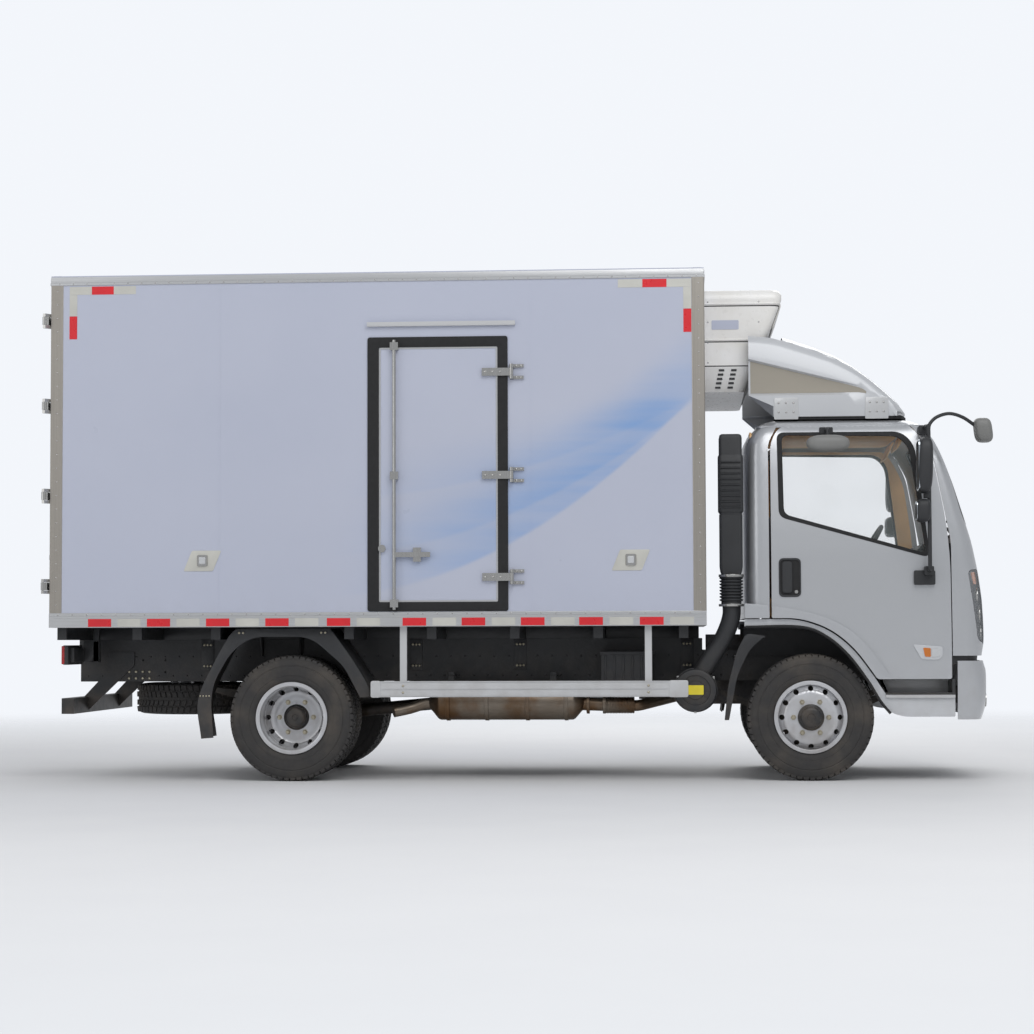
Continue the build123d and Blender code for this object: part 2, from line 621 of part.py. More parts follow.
REAR_HINGE_X = BOX_REAR - HINGE_BACK
REAR_HINGE_Y = BOX_HALF_W + HINGE_OUT
with BuildPart() as rear_door_frame:
    block((BOX_REAR, BOX_REAR + WALL), (-BOX_HALF_W, BOX_HALF_W), (DECK, CEILING))
    opening_x = (BOX_REAR - 5, BOX_REAR + WALL + 5)
    block(opening_x, (-OPEN_HALF_W, OPEN_HALF_W), (DECK - 5, OPEN_TOP), Mode.SUBTRACT)
    for side in (1, -1):
        for z in REAR_HINGE_Z:
            half = STRAP_H / 2 + 22
            for low, high in ((z - half, z - half + 20), (z + half - 20, z + half)):
                plan_slab([
                    (BOX_REAR, side * (OPEN_HALF_W + 35)), (BOX_REAR, side * BOX_HALF_W),
                    (REAR_HINGE_X + 8, side * (REAR_HINGE_Y + 10)),
                    (REAR_HINGE_X - 10, side * (REAR_HINGE_Y + 4)),
                    (REAR_HINGE_X - 10, side * (REAR_HINGE_Y - 8)),
                ], (low, high))
            rod(
                (REAR_HINGE_X, side * REAR_HINGE_Y, z - half), (REAR_HINGE_X, side * REAR_HINGE_Y, z + half),
                HINGE_PIN_R,
            )
finish(rear_door_frame, "rear_door_frame")

with BuildPart() as side_door:
    leaf_x = (SIDE_DOOR_X[0] + SHUT_GAP, SIDE_DOOR_X[1] - SHUT_GAP)
    leaf_z = (SIDE_DOOR_Z[0] + SHUT_GAP, SIDE_DOOR_Z[1] - SHUT_GAP)
    # The free edge is tapered so that its inner corner swings clear of the jamb
    plan_slab([
        (leaf_x[0], -BOX_HALF_W), (leaf_x[1], -BOX_HALF_W), (leaf_x[1], -INNER_HALF_W),
        (leaf_x[0] + SIDE_EDGE_TAPER, -INNER_HALF_W),
    ], leaf_z)
finish(side_door, "side_door")

with BuildPart() as side_door_lock_gear:
    strap_y = (-BOX_HALF_W - 8 - STRAP_T, -BOX_HALF_W - 8)
    for z in SIDE_HINGE_Z:
        tall = (z - STRAP_H / 2, z + STRAP_H / 2)
        block((SIDE_HINGE_X - 190, SIDE_HINGE_X), strap_y, tall)
        block((SIDE_HINGE_X - 190, SIDE_DOOR_X[1] - SHUT_GAP), (strap_y[1], -BOX_HALF_W), tall)
        rod((SIDE_HINGE_X, SIDE_HINGE_Y, tall[0]), (SIDE_HINGE_X, SIDE_HINGE_Y, tall[1]), HINGE_EYE_R)
        block((SIDE_HINGE_X - 12, SIDE_HINGE_X + 8), (SIDE_HINGE_Y, strap_y[0]), tall)
        rod((SIDE_HINGE_X, SIDE_HINGE_Y, tall[0] - 1), (SIDE_HINGE_X, SIDE_HINGE_Y, tall[1] + 1),
            HINGE_PIN_R + PIN_PLAY, Mode.SUBTRACT)
    rod_y = -BOX_HALF_W - ROD_STANDOFF
    rod((SIDE_ROD_X, rod_y, leaf_z[0]), (SIDE_ROD_X, rod_y, leaf_z[1]), ROD_R)
    for z in (leaf_z[0] + 40, 1943, leaf_z[1] - 40):
        block((SIDE_ROD_X - 26, SIDE_ROD_X + 26), (rod_y - ROD_R, -BOX_HALF_W), (z - 25, z + 25))
    block((SIDE_ROD_X, SIDE_ROD_X + 230), (rod_y - 8, rod_y + 8), (SIDE_HANDLE_Z - 16, SIDE_HANDLE_Z + 16))
    rest_z = (SIDE_HANDLE_Z - 45, SIDE_HANDLE_Z + 45)
    block((SIDE_ROD_X + 120, SIDE_ROD_X + 170), (rod_y, -BOX_HALF_W), rest_z)
    knob = (SIDE_ROD_X - 80, -BOX_HALF_W, SIDE_HANDLE_Z + 40)
    rod(knob, (knob[0], knob[1] - 20, knob[2]), 24)
finish(side_door_lock_gear, "side_door_lock_gear")

for name, side in (("left", 1), ("right", -1)):
    with BuildPart() as rear_door:
        leaf = on(side, (REAR_LEAF_FROM, OPEN_HALF_W - SHUT_GAP))
        block((BOX_REAR, BOX_REAR + WALL), leaf, (DECK + 8, OPEN_TOP - SHUT_GAP))
    finish(rear_door, f"rear_door_{name}")

    with BuildPart() as lock_gear:
        strap_x = (BOX_REAR - 8 - STRAP_T, BOX_REAR - 8)
        pin_y = side * REAR_HINGE_Y
        for z in REAR_HINGE_Z:
            tall = (z - STRAP_H / 2, z + STRAP_H / 2)
            block(strap_x, on(side, (OPEN_HALF_W - 160, REAR_HINGE_Y)), tall)
            block((strap_x[1], BOX_REAR), on(side, (OPEN_HALF_W - 160, OPEN_HALF_W - SHUT_GAP)), tall)
            block((REAR_HINGE_X, strap_x[0]), on(side, (REAR_HINGE_Y - 12, REAR_HINGE_Y + 8)), tall)
            rod((REAR_HINGE_X, pin_y, tall[0]), (REAR_HINGE_X, pin_y, tall[1]), HINGE_EYE_R)
            eye = HINGE_PIN_R + PIN_PLAY
            rod((REAR_HINGE_X, pin_y, tall[0] - 1), (REAR_HINGE_X, pin_y, tall[1] + 1), eye, Mode.SUBTRACT)
        rod_x = BOX_REAR - ROD_STANDOFF
        for y in REAR_ROD_Y:
            rod((rod_x, side * y, DECK + 14), (rod_x, side * y, OPEN_TOP - 12), ROD_R)
            for z in (DECK + 60, 1600, 2300, OPEN_TOP - 60):
                block((rod_x - ROD_R, BOX_REAR), on(side, (y - 26, y + 26)), (z - 22, z + 22))
            block((rod_x - 8, rod_x + 8), on(side, (y, y + 240)), (1424, 1456))
            block((rod_x, BOX_REAR), on(side, (y + 130, y + 180)), (1395, 1485))
        # The handle's end is the tail's rearmost point
        grip_y = on(side, (REAR_ROD_Y[0] + 190, REAR_ROD_Y[0] + 240))
        block((BOX_REAR - REAR_HARDWARE, rod_x), grip_y, (1428, 1452))
    finish(lock_gear, f"rear_lock_gear_{name}")

# Refrigeration unit on the front of the box
UNIT_HALF_W = 720
UNIT_SIDE = [
    (BOX_FRONT, 3165), (-170, 3165), (-146, 3130), (-146, 3103), (-218, 2923), (-395, 2505),
    (BOX_FRONT, 2505),
]
UNIT_FRONT = mirrored([
    (UNIT_HALF_W - 60, 2505), (UNIT_HALF_W, 2662), (UNIT_HALF_W, 3120), (UNIT_HALF_W - 45, 3165),
])
with BuildPart() as reefer_unit:
    slab(UNIT_SIDE, (-UNIT_HALF_W, UNIT_HALF_W))
    cross_slab(UNIT_FRONT, (BOX_FRONT, 0), Mode.INTERSECT)
finish(reefer_unit, "reefer_unit")

# Cab: one outer form and one inner form, cut into panels where the real ones meet
ARCH_EDGE = [(-65, ARCH_TOP), (122, 966), (278, 840), (401, 669), (420, SILL_Z)]
FAR = 1400
LOW = 300
HIGH = 2400
# The nose's middle line, from above the roof down to the lower edge of the front panel
NOSE = [
    (600, HIGH), (848, 2105), (931, 1886), (1001, 1668), (1051, 1505), (1094, 1309), (1117, 1146),
    (1126, 887), (1106, PANEL_BOTTOM), (1106, LOW), (-700, LOW), (-700, HIGH),
]
# The nose bends back in two flats on each side: (from, to, set back by the outer edge)
NOSE_FLATS = ((450, 880, 40), (880, CAB_HALF_W, 70))


def nose_form(inset):
    """Everything behind the nose's surface, inset rearward."""
    line = [(x - inset, z) for x, z in NOSE]
    slab(line, (-NOSE_FLATS[0][0], NOSE_FLATS[0][0]))
    back = 0
    for start, end, lean in NOSE_FLATS:
        for side in (1, -1):
            lean_slab([(x - back, z) for x, z in line], (side * start, side * end), (-lean, 0))
        back += lean


def cab_cross(inset):
    """The cab from the front: upright to the waist, leaning in to the roof."""
    return mirrored([
        (CAB_HALF_W - inset, LOW), (CAB_HALF_W - inset, WAIST), (925 - inset, 2150),
        (868 - inset, CAB_CEILING), (790 - inset, CAB_ROOF),
    ])


def cab_side(rear, foot, roof, bulge):
    """The cab from the side, with the rounded rear edge of its roof."""
    shoulder = (rear, roof - 210)
    crown = (rear + 200, roof)
    with BuildSketch(SIDE.offset(-CAB_HALF_W)) as face:
        with BuildLine():
            Line((rear, foot[0][1]), shoulder)
            ThreePointArc(shoulder, (rear + bulge, roof - bulge), crown)
            Polyline(crown, (FAR, roof), (FAR, foot[-1][1]), *reversed(foot), (rear, foot[0][1]))
        make_face()
    extrude(face.sketch, amount=2 * CAB_HALF_W)


with BuildPart() as nose_outer:
    nose_form(0)
with BuildPart() as nose_inner:
    nose_form(CAB_FRONT_WALL)

with BuildPart() as cab_shell:
    cab_side(CAB_REAR, ARCH_EDGE + [(DOOR_FRONT, SILL_Z), (DOOR_FRONT, PANEL_BOTTOM)], CAB_ROOF, 60)
    cross_slab(cab_cross(0), (CAB_REAR, FAR), Mode.INTERSECT)
    plan_slab([
        (CAB_REAR, -CAB_HALF_W + 60), (CAB_REAR + 60, -CAB_HALF_W), (FAR, -CAB_HALF_W),
        (FAR, CAB_HALF_W), (CAB_REAR + 60, CAB_HALF_W), (CAB_REAR, CAB_HALF_W - 60),
    ], (LOW, HIGH), Mode.INTERSECT)
    add(nose_outer.part, mode=Mode.INTERSECT)
with BuildPart() as cab_inside:
    cab_side(CAB_REAR + CAB_WALL, [(0, LOW)], CAB_CEILING, 55)
    cross_slab(cab_cross(CAB_WALL), (CAB_REAR, FAR), Mode.INTERSECT)
    add(nose_inner.part, mode=Mode.INTERSECT)
with BuildPart() as cab_panels:
    add(cab_shell.part)
    add(cab_inside.part, mode=Mode.SUBTRACT)

WIDE = (-CAB_HALF_W - 50, CAB_HALF_W + 50)
with BuildPart() as cab_roof:
    add(cab_panels.part)
    block((CAB_REAR - 10, FAR), WIDE, (CAB_CEILING, HIGH), Mode.INTERSECT)
finish(cab_roof, "cab_roof")

with BuildPart() as cab_back:
    add(cab_panels.part)
    block((CAB_REAR - 10, DOOR_REAR - DOOR_SWING_ROOM), WIDE, (LOW, CAB_CEILING), Mode.INTERSECT)
finish(cab_back, "cab_back")

# The door's front edge, from its foot to its top
DOOR_EDGE = [
    (DOOR_FRONT, LOW), (DOOR_FRONT, 838), (DOOR_FRONT - 4, 1524), (785, 2040), (700, 2190), (640, DOOR_TOP),
]
WINDSCREEN = [(0, 1590), (850, 1650), (800, 2190), (0, 2215), (-800, 2190), (-850, 1650)]
HEADLAMP = [(790, 850), (930, 880), (962, 1330), (900, 1335)]
GRILLE_SLOTS = 4
GRILLE_PITCH = 42

with BuildPart() as front_zone:
    edge = [(x + SHUT_GAP, z + SHUT_GAP * (z == DOOR_TOP)) for x, z in DOOR_EDGE]
    slab(edge + [(FAR, CAB_CEILING), (FAR, LOW)], WIDE)
    cross_slab(cab_cross(CAB_WALL + SHUT_GAP), (FOOT_X[0], FAR))
    block((FOOT_X[0], FAR), WIDE, (LOW, CAB_CEILING), Mode.INTERSECT)
with BuildPart() as lamp_zone:
    for side in (1, -1):
        cross_slab([(side * y, z) for y, z in HEADLAMP], (DOOR_FRONT, FAR))

with BuildPart() as cab_front:
    add(cab_panels.part)
    add(front_zone.part, mode=Mode.INTERSECT)
    cross_slab(WINDSCREEN, (FOOT_X[0], FAR), Mode.SUBTRACT)
    add(lamp_zone.part, mode=Mode.SUBTRACT)
    for step in range(GRILLE_SLOTS):
        low = 840 + GRILLE_PITCH * step
        block((FOOT_X[1], FAR), (-560, 560), (low, low + GRILLE_PITCH - 16), Mode.SUBTRACT)
finish(cab_front, "cab_front")

with BuildPart() as headlamps:
    add(cab_panels.part)
    add(lamp_zone.part, mode=Mode.INTERSECT)
finish(headlamps, "headlamps")

SCREEN_INSET = 12
with BuildPart() as screen_back:
    nose_form(SCREEN_INSET + GLASS_T)
with BuildPart() as windshield:
    nose_form(SCREEN_INSET)
    cross_slab(WINDSCREEN, (FOOT_X[0], FAR), Mode.INTERSECT)
    add(screen_back.part, mode=Mode.SUBTRACT)
finish(windshield, "windshield")

FLOOR_HALF_W = CAB_HALF_W - CAB_WALL - SHUT_GAP
FOOT_IN = TUNNEL_HALF_W - PLATE
with BuildPart() as cab_floor:
    block((CAB_REAR + CAB_WALL, FOOT_X[0] + PLATE), (-FLOOR_HALF_W, FLOOR_HALF_W), (DECK_Z, DECK_Z + PLATE))
    block((FOOT_X[0], 1040), (-TUNNEL_HALF_W, TUNNEL_HALF_W), (DECK_Z, DECK_Z + PLATE))
    for side in (1, -1):
        well = on(side, (FOOT_IN, FLOOR_HALF_W))
        block(FOOT_X, well, (FOOT_Z, FOOT_Z + PLATE))
        block((FOOT_X[0], FOOT_X[0] + PLATE), well, (FOOT_Z, DECK_Z + PLATE))
        block((FOOT_X[1] - PLATE, FOOT_X[1]), on(side, (FOOT_IN, FLOOR_HALF_W - 40)), (FOOT_Z, 780))
        block(FOOT_X, on(side, (FOOT_IN, TUNNEL_HALF_W)), (FOOT_Z, DECK_Z + PLATE))
    tilt_bore = TILT_TUBE_R + PIN_PLAY
    rod((TILT_X, -TUNNEL_HALF_W, TILT_Z), (TILT_X, TUNNEL_HALF_W, TILT_Z), tilt_bore, Mode.SUBTRACT)
finish(cab_floor, "cab_floor")

SEAT_Y = (180, 700)
SEAT_TOP = DECK_Z + PLATE
with BuildPart() as seats:
    for side in (1, -1):
        slab([
            (-150, SEAT_TOP), (230, SEAT_TOP), (260, SEAT_TOP + 190), (-150, SEAT_TOP + 160),
            (-270, SEAT_TOP + 860), (-320, SEAT_TOP + 850), (-230, SEAT_TOP),
        ], on(side, SEAT_Y))
finish(seats, "seats")

WHEEL_Y = 440
with BuildPart() as dashboard:
    slab([
        (700, 1150), (660, 1420), (720, 1500), (900, 1500), (930, 1150),
    ], (-860, 860))
    block((720, 900), (-160, 160), (DECK_Z + PLATE, 1200))
    rod((760, WHEEL_Y, 1330), (478, WHEEL_Y, 1497), 24)
    with Locations(Plane(origin=place(470, WHEEL_Y, 1502), z_dir=(-860, 0, 510))):
        Torus(195, 15)
        Cylinder(55, 30)
        for angle in (0, 120, 240):
            with Locations(Location((0, 0, 0), (0, 0, angle))):
                with Locations((100, 0, 0)):
                    Box(190, 28, 14)
finish(dashboard, "dashboard")

BUMPER_PLAN = [(BUMPER_FRONT, 450), (1100, 880), (1020, CAB_HALF_W), (920, CAB_HALF_W)]
BUMPER_T = 26
with BuildPart() as front_bumper:
    bumper_in = CAB_HALF_W - BUMPER_T
    inside = [(BUMPER_FRONT - BUMPER_T, 445), (1077, 862), (1005, bumper_in), (920, bumper_in)]
    outer_line = BUMPER_PLAN[::-1] + [(x, -y) for x, y in BUMPER_PLAN]
    inner_line = inside[::-1] + [(x, -y) for x, y in inside]
    plan_slab(outer_line + inner_line[::-1], BUMPER_Z)
    for side in (1, -1):
        lug = on(side, (500, 560))
        block((1045, BUMPER_FRONT - BUMPER_T), lug, (BUMPER_Z[1] - 40, BUMPER_Z[1]))
        block((1050, 1085), lug, (BUMPER_Z[1] - 1, PANEL_BOTTOM))
finish(front_bumper, "front_bumper")

# Wheel arch lip and entry step, one piece each side
LIP_GAP = SHUT_GAP
STEP_TOP = 549
STEP_BOTTOM = 405
with BuildPart() as arch_steps:
    under_door = [(x - LIP_GAP / 2, z - LIP_GAP) for x, z in ARCH_EDGE]
    lip_low = [
        (586, STEP_BOTTOM), (500, 430), (440, 505), (360, 640), (240, 800), (100, 920), (-66, 979),
        (CAB_REAR, 978),
    ]
    lip_step = DOOR_REAR - DOOR_SWING_ROOM
    lip = [(CAB_REAR, ARCH_TOP), (lip_step, ARCH_TOP), (lip_step, ARCH_TOP - LIP_GAP)]
    step = [(FOOT_X[0], STEP_TOP), (FOOT_X[1], STEP_TOP), (FOOT_X[1], STEP_BOTTOM)]
    for side in (1, -1):
        slab(lip + under_door + step + lip_low, on(side, (CAB_HALF_W - 40, CAB_HALF_W)))
        block((FOOT_X[0], FOOT_X[1]), on(side, (740, CAB_HALF_W)), (STEP_TOP - 26, STEP_TOP))
        block((FOOT_X[0], FOOT_X[1]), on(side, (740, 760)), (STEP_TOP - 26, FOOT_Z))
finish(arch_steps, "arch_steps")

# Roof fairing: a hollow wind deflector, open behind, that reaches round the refrigeration unit
CREST = [
    (-372, 2898), (-221, 2882), (-90, 2841), (171, 2742), (430, 2577), (623, 2423), (667, 2344),
]
FAIRING_FOOT = 2324
FAIRING_HALF_W = 830
FAIRING_T = 30
FAIRING_TOP_HALF = 690
UNIT_ROOM = 45


def fairing_form(crest, inset, foot, rear):
    """The fairing's body under a crest line, its upper edges sloped down to the sides."""
    line = crest + [(crest[-1][0], foot), (rear, foot)]
    top = FAIRING_TOP_HALF - inset
    slab(line, (-top, top))
    for side in (1, -1):
        lean_slab(line, (side * top, side * (FAIRING_HALF_W - inset)), (0, -80))


with BuildPart() as fairing_inside:
    inner_crest = offset_line(CREST, FAIRING_T)
    fairing_form([(-500, inner_crest[0][1])] + inner_crest, FAIRING_T, FAIRING_FOOT - 100, -500)
with BuildPart() as roof_fairing:
    fairing_form(CREST, 0, FAIRING_FOOT, CREST[0][0])
    slab([(-372, 3000), (FAR, 3000), (FAR, FAIRING_FOOT), (-215, FAIRING_FOOT), (-372, 2480)],
         (-FAIRING_HALF_W, FAIRING_HALF_W), Mode.INTERSECT)
    add(fairing_inside.part, mode=Mode.SUBTRACT)
    slab([(x + UNIT_ROOM, z) for x, z in UNIT_SIDE], (-UNIT_HALF_W - 40, UNIT_HALF_W + 40), Mode.SUBTRACT)
    for side in (1, -1):
        for start, end in ((-211, -56), (370, 518)):
            block((start, end), on(side, (FAIRING_HALF_W - 70, FAIRING_HALF_W - 2)), (2340, 2352))
            block((start, end), on(side, (FAIRING_HALF_W - 70, FAIRING_HALF_W - 58)), (CAB_ROOF, 2352))
            block((start, end), on(side, (FAIRING_HALF_W - 2, FAIRING_HALF_W + 8)), (2330, 2440))
finish(roof_fairing, "roof_fairing")

# Cab doors, their glass and the mirrors they carry; the left ones mirror the right
WINDOW = [(-180, 2205), (575, 2198), (649, 2121), (742, 1424), (-172, 1683)]
GLASS_INSET = 34
RIGHT = (-CAB_HALF_W - 50, 0)


def lean_in(z):
    """The cab side's distance from the middle between its shoulder and its roof edge."""
    return 925 - (z - 2150) * (925 - 868) / (CAB_CEILING - 2150)


with BuildPart() as cab_door_right:
    add(cab_panels.part)
    slab([(DOOR_REAR, LOW), (DOOR_REAR, 2150), (-180, DOOR_TOP)] + DOOR_EDGE[::-1], RIGHT, Mode.INTERSECT)
    cross_slab(cab_cross(CAB_WALL), (CAB_REAR, FAR), Mode.SUBTRACT)
    slab(WINDOW, RIGHT, Mode.SUBTRACT)
finish(cab_door_right, "cab_door_right")

with BuildPart() as window_back:
    cross_slab(cab_cross(GLASS_INSET + GLASS_T), (CAB_REAR, FAR))
with BuildPart() as door_glass_right:
    slab(WINDOW, RIGHT)
    cross_slab(cab_cross(GLASS_INSET), (CAB_REAR, FAR), Mode.INTERSECT)
    add(window_back.part, mode=Mode.SUBTRACT)
finish(door_glass_right, "door_glass_right")

STEM = (741, -1120)
STEM_R = 14
MIRROR_REACH = 1230
HOUSING_ROUND = 36


def housing(x, y, z):
    """A mirror's housing between (low, high) pairs, its corners rounded as seen from behind."""
    with BuildSketch(CROSS.offset(x[0])) as face:
        with Locations(((y[0] + y[1]) / 2, (z[0] + z[1]) / 2)):
            RectangleRounded(y[1] - y[0], z[1] - z[0], HOUSING_ROUND)
    extrude(face.sketch, amount=x[1] - x[0])


def mirror_set():
    """The main and wide-angle mirrors on their stem, with the foot and the top bracket on the door."""
    rod((*STEM, 1340), (*STEM, 2240), STEM_R)
    block((650, 786), (-CAB_HALF_W - 32, -CAB_HALF_W), (1234, 1329))
    block((716, 766), (STEM[1] - STEM_R, -CAB_HALF_W - 20), (1300, 1350))
    bracket = [(-lean_in(2190), 2190), (-lean_in(2230), 2230), (STEM[1], 2250), (STEM[1], 2222)]
    cross_slab(bracket, (690, 765))
    housing((660, 765), (-MIRROR_REACH, -1030), (1806, 2158))
    housing((650, 748), (-MIRROR_REACH + 20, -1045), (1626, 1771))


with BuildPart() as plain_mirrors:
    mirror_set()
with BuildPart() as mirrors_left:
    mirror(plain_mirrors.part, about=Plane.XZ)
finish(mirrors_left, "mirrors_left")

FRONT_ARM = [(741, -1115, 2238), (800, -1090, 2290), (880, -1060, 2312), (1040, -1010, 2240)]
ARM_R = 11
with BuildPart() as mirrors_right:
    mirror_set()
    for start, end in zip(FRONT_ARM, FRONT_ARM[1:]):
        rod(start, end, ARM_R)
        with Locations(place(*start)):
            Sphere(ARM_R)
    housing((1030, FRONT_REACH), (-1090, -930), (2128, 2288))
    cross_slab([(-lean_in(2208), 2208), (-lean_in(2244), 2244), (-1060, 2244), (-1060, 2180), (-1030, 2180),
                (-1030, 2208)], (80, 150))
    housing((-21, 254), (-1150, -1000), (2074, 2185))
finish(mirrors_right, "mirrors_right")

with BuildPart() as cab_door_left:
    mirror(cab_door_right.part, about=Plane.XZ)
finish(cab_door_left, "cab_door_left")

with BuildPart() as door_glass_left:
    mirror(door_glass_right.part, about=Plane.XZ)
finish(door_glass_left, "door_glass_left")
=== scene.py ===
# %% [markdown]
# # A refrigerated truck, dressed in Blender
#
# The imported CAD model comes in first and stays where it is. Everything that follows is built round it:
# smooth panels, treads, seals, rivets and paint. Sizes are in millimetres from the front axle, as on the
# truck's drawings, and one small function turns them into metres in the scene.

# %% Load the frame
import json
import math

import bmesh
import bpy
import numpy as np
from mathutils import Matrix, Vector
from mathutils.geometry import delaunay_2d_cdt


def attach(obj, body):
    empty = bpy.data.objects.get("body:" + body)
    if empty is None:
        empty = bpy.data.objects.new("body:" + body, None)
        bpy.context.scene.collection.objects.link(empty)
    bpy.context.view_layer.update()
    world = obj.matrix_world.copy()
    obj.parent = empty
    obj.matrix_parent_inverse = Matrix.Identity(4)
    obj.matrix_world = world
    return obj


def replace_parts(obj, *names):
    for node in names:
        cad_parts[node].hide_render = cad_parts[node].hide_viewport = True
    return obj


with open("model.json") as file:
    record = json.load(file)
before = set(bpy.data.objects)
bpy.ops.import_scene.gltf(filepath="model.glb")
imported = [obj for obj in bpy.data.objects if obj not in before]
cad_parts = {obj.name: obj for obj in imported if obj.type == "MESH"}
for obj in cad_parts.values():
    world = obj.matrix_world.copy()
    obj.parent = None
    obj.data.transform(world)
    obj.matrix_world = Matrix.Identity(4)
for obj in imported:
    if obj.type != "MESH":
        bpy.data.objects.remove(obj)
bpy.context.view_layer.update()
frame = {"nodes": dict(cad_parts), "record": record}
nodes = frame["nodes"]
FRONT_AXLE_X = 1876.5


def at(x, y, z):
    """A point in millimetres from the front axle, as metres in the scene."""
    return ((FRONT_AXLE_X + x) / 1000, y / 1000, z / 1000)


# %% [markdown]
# ## Building blocks
#
# A few helpers make nearly every piece. Each returns plain points and faces, and `piece` turns them into an
# object that rides a body and wears a material. A piece is written once, on the right side, and the helper
# mirrors it to the left when it is asked to.

# %% Turn points and faces into pieces
SMOOTH_ANGLE = math.radians(38)
made = []


def piece(name, body, slot, material, points, faces, angle=SMOOTH_ANGLE):
    """An object at the origin from points in millimetres."""
    mesh = bpy.data.meshes.new(name)
    mesh.from_pydata([at(*p) for p in points], [], [list(f) for f in faces])
    tidy = bmesh.new()
    tidy.from_mesh(mesh)
    bmesh.ops.remove_doubles(tidy, verts=tidy.verts, dist=0.00002)
    bmesh.ops.recalc_face_normals(tidy, faces=tidy.faces)
    tidy.to_mesh(mesh)
    tidy.free()
    mesh.polygons.foreach_set("use_smooth", [True] * len(mesh.polygons))
    mesh.set_sharp_from_angle(angle=angle)
    mesh.materials.append(material)
    thing = bpy.data.objects.new(name, mesh)
    bpy.context.scene.collection.objects.link(thing)
    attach(thing, body)
    made.append(thing)
    return thing


def bevelled(thing, width, segments=3, angle=35):
    """Rounds a piece's sharp edges, width in millimetres."""
    form = bmesh.new()
    form.from_mesh(thing.data)
    sharp = [e for e in form.edges if len(e.link_faces) == 2 and e.calc_face_angle(0) > math.radians(angle)]
    bmesh.ops.bevel(form, geom=sharp, offset=width / 1000, segments=segments, profile=0.5, affect="EDGES",
                    clamp_overlap=True)
    form.to_mesh(thing.data)
    form.free()
    thing.data.polygons.foreach_set("use_smooth", [True] * len(thing.data.polygons))
    thing.data.set_sharp_from_angle(angle=math.radians(60))
    return thing


def join(*parts):
    """Several (points, faces) lists as one."""
    points, faces = [], []
    for more_points, more_faces in parts:
        start = len(points)
        points += list(more_points)
        faces += [[start + i for i in f] for f in more_faces]
    return points, faces


def mirror(part):
    """A part and its image on the other side of the truck."""
    points, faces = part
    return [(x, -y, z) for x, y, z in points], [list(f)[::-1] for f in faces]


def both(part):
    return join(part, mirror(part))


def block(x, y, z):
    """A plain box between (low, high) pairs."""
    points = [(a, b, c) for a in x for b in y for c in z]
    return points, [(0, 1, 3, 2), (4, 6, 7, 5), (0, 4, 5, 1), (2, 3, 7, 6), (0, 2, 6, 4), (1, 5, 7, 3)]


def loft(rings, closed=True, caps=True):
    """A skin through rings of equally many points."""
    count = len(rings[0])
    points = [tuple(p) for ring in rings for p in ring]
    faces = []
    for r in range(len(rings) - 1):
        for i in range(count if closed else count - 1):
            j = (i + 1) % count
            a, b = r * count, (r + 1) * count
            faces.append((a + i, a + j, b + j, b + i))
    if caps and closed:
        faces.append(list(range(count))[::-1])
        faces.append([(len(rings) - 1) * count + i for i in range(count)])
    return points, faces


def slab(outline, y):
    """A side outline of (x, z) points, filled between two distances across."""
    return loft([[(x, side, z) for x, z in outline] for side in y])


def turned(profile, centre, segments=64, axis="y", side=1):
    """A closed (outward, radius) profile turned about an axis through a centre."""
    rings = []
    for k in range(segments):
        angle = 2 * math.pi * k / segments
        across, up = math.cos(angle), math.sin(angle)
        ring = []
        for out, radius in profile:
            if axis == "y":
                offset = (radius * across, side * out, radius * up)
            elif axis == "x":
                offset = (side * out, radius * across, radius * up)
            else:
                offset = (radius * across, radius * up, side * out)
            ring.append(tuple(c + o for c, o in zip(centre, offset)))
        rings.append(ring)
    return loft(rings + [rings[0]], caps=False)


def tube(path, radius, sides=14, flat=1.0):
    """A bar of one radius along a path, its ends closed."""
    line = [Vector(p) for p in path]
    rings = []
    up = Vector((0.12, 0.31, 0.94)).normalized()
    for i, point in enumerate(line):
        run = (line[min(i + 1, len(line) - 1)] - line[max(i - 1, 0)]).normalized()
        side = run.cross(up)
        if side.length < 0.05:
            side = run.cross(Vector((1, 0, 0)))
        side.normalize()
        other = side.cross(run)
        rings.append([point + side * (radius * math.cos(t)) + other * (radius * flat * math.sin(t))
                      for t in np.linspace(0, 2 * math.pi, sides, endpoint=False)])
    return loft(rings)


def curve_through(points, steps=8):
    """A smooth line through a few points."""
    p = [Vector(q) for q in points]
    p = [p[0] * 2 - p[1]] + p + [p[-1] * 2 - p[-2]]
    line = []
    for a, b, c, d in zip(p, p[1:], p[2:], p[3:]):
        for k in range(steps):
            t = k / steps
            line.append(((b * 2) + (c - a) * t + (a * 2 - b * 5 + c * 4 - d) * t * t
                         + (b * 3 - a - c * 3 + d) * t ** 3) / 2)
    return line + [p[-2]]


def rounded(outline, radius, steps=6):
    """A closed outline of 2-D points with its corners rounded; a radius may be given for each corner."""
    line = []
    count = len(outline)
    for i, corner in enumerate(outline):
        r = radius[i] if isinstance(radius, (list, tuple)) else radius
        here = Vector(corner[:2])
        back = Vector(outline[i - 1][:2]) - here
        on = Vector(outline[(i + 1) % count][:2]) - here
        cut = min(r, back.length * 0.48, on.length * 0.48)
        start, end = here + back.normalized() * cut, here + on.normalized() * cut
        for k in range(steps + 1):
            t = k / steps
            line.append(tuple(start * (1 - t) ** 2 + here * (2 * t * (1 - t)) + end * t * t))
    return line


def inside(point, outline):
    """Whether a 2-D point lies within an outline."""
    x, z = point
    hit = False
    for (x0, z0), (x1, z1) in zip(outline, outline[1:] + outline[:1]):
        if (z0 > z) != (z1 > z) and x < (x1 - x0) * (z - z0) / (z1 - z0) + x0:
            hit = not hit
    return hit


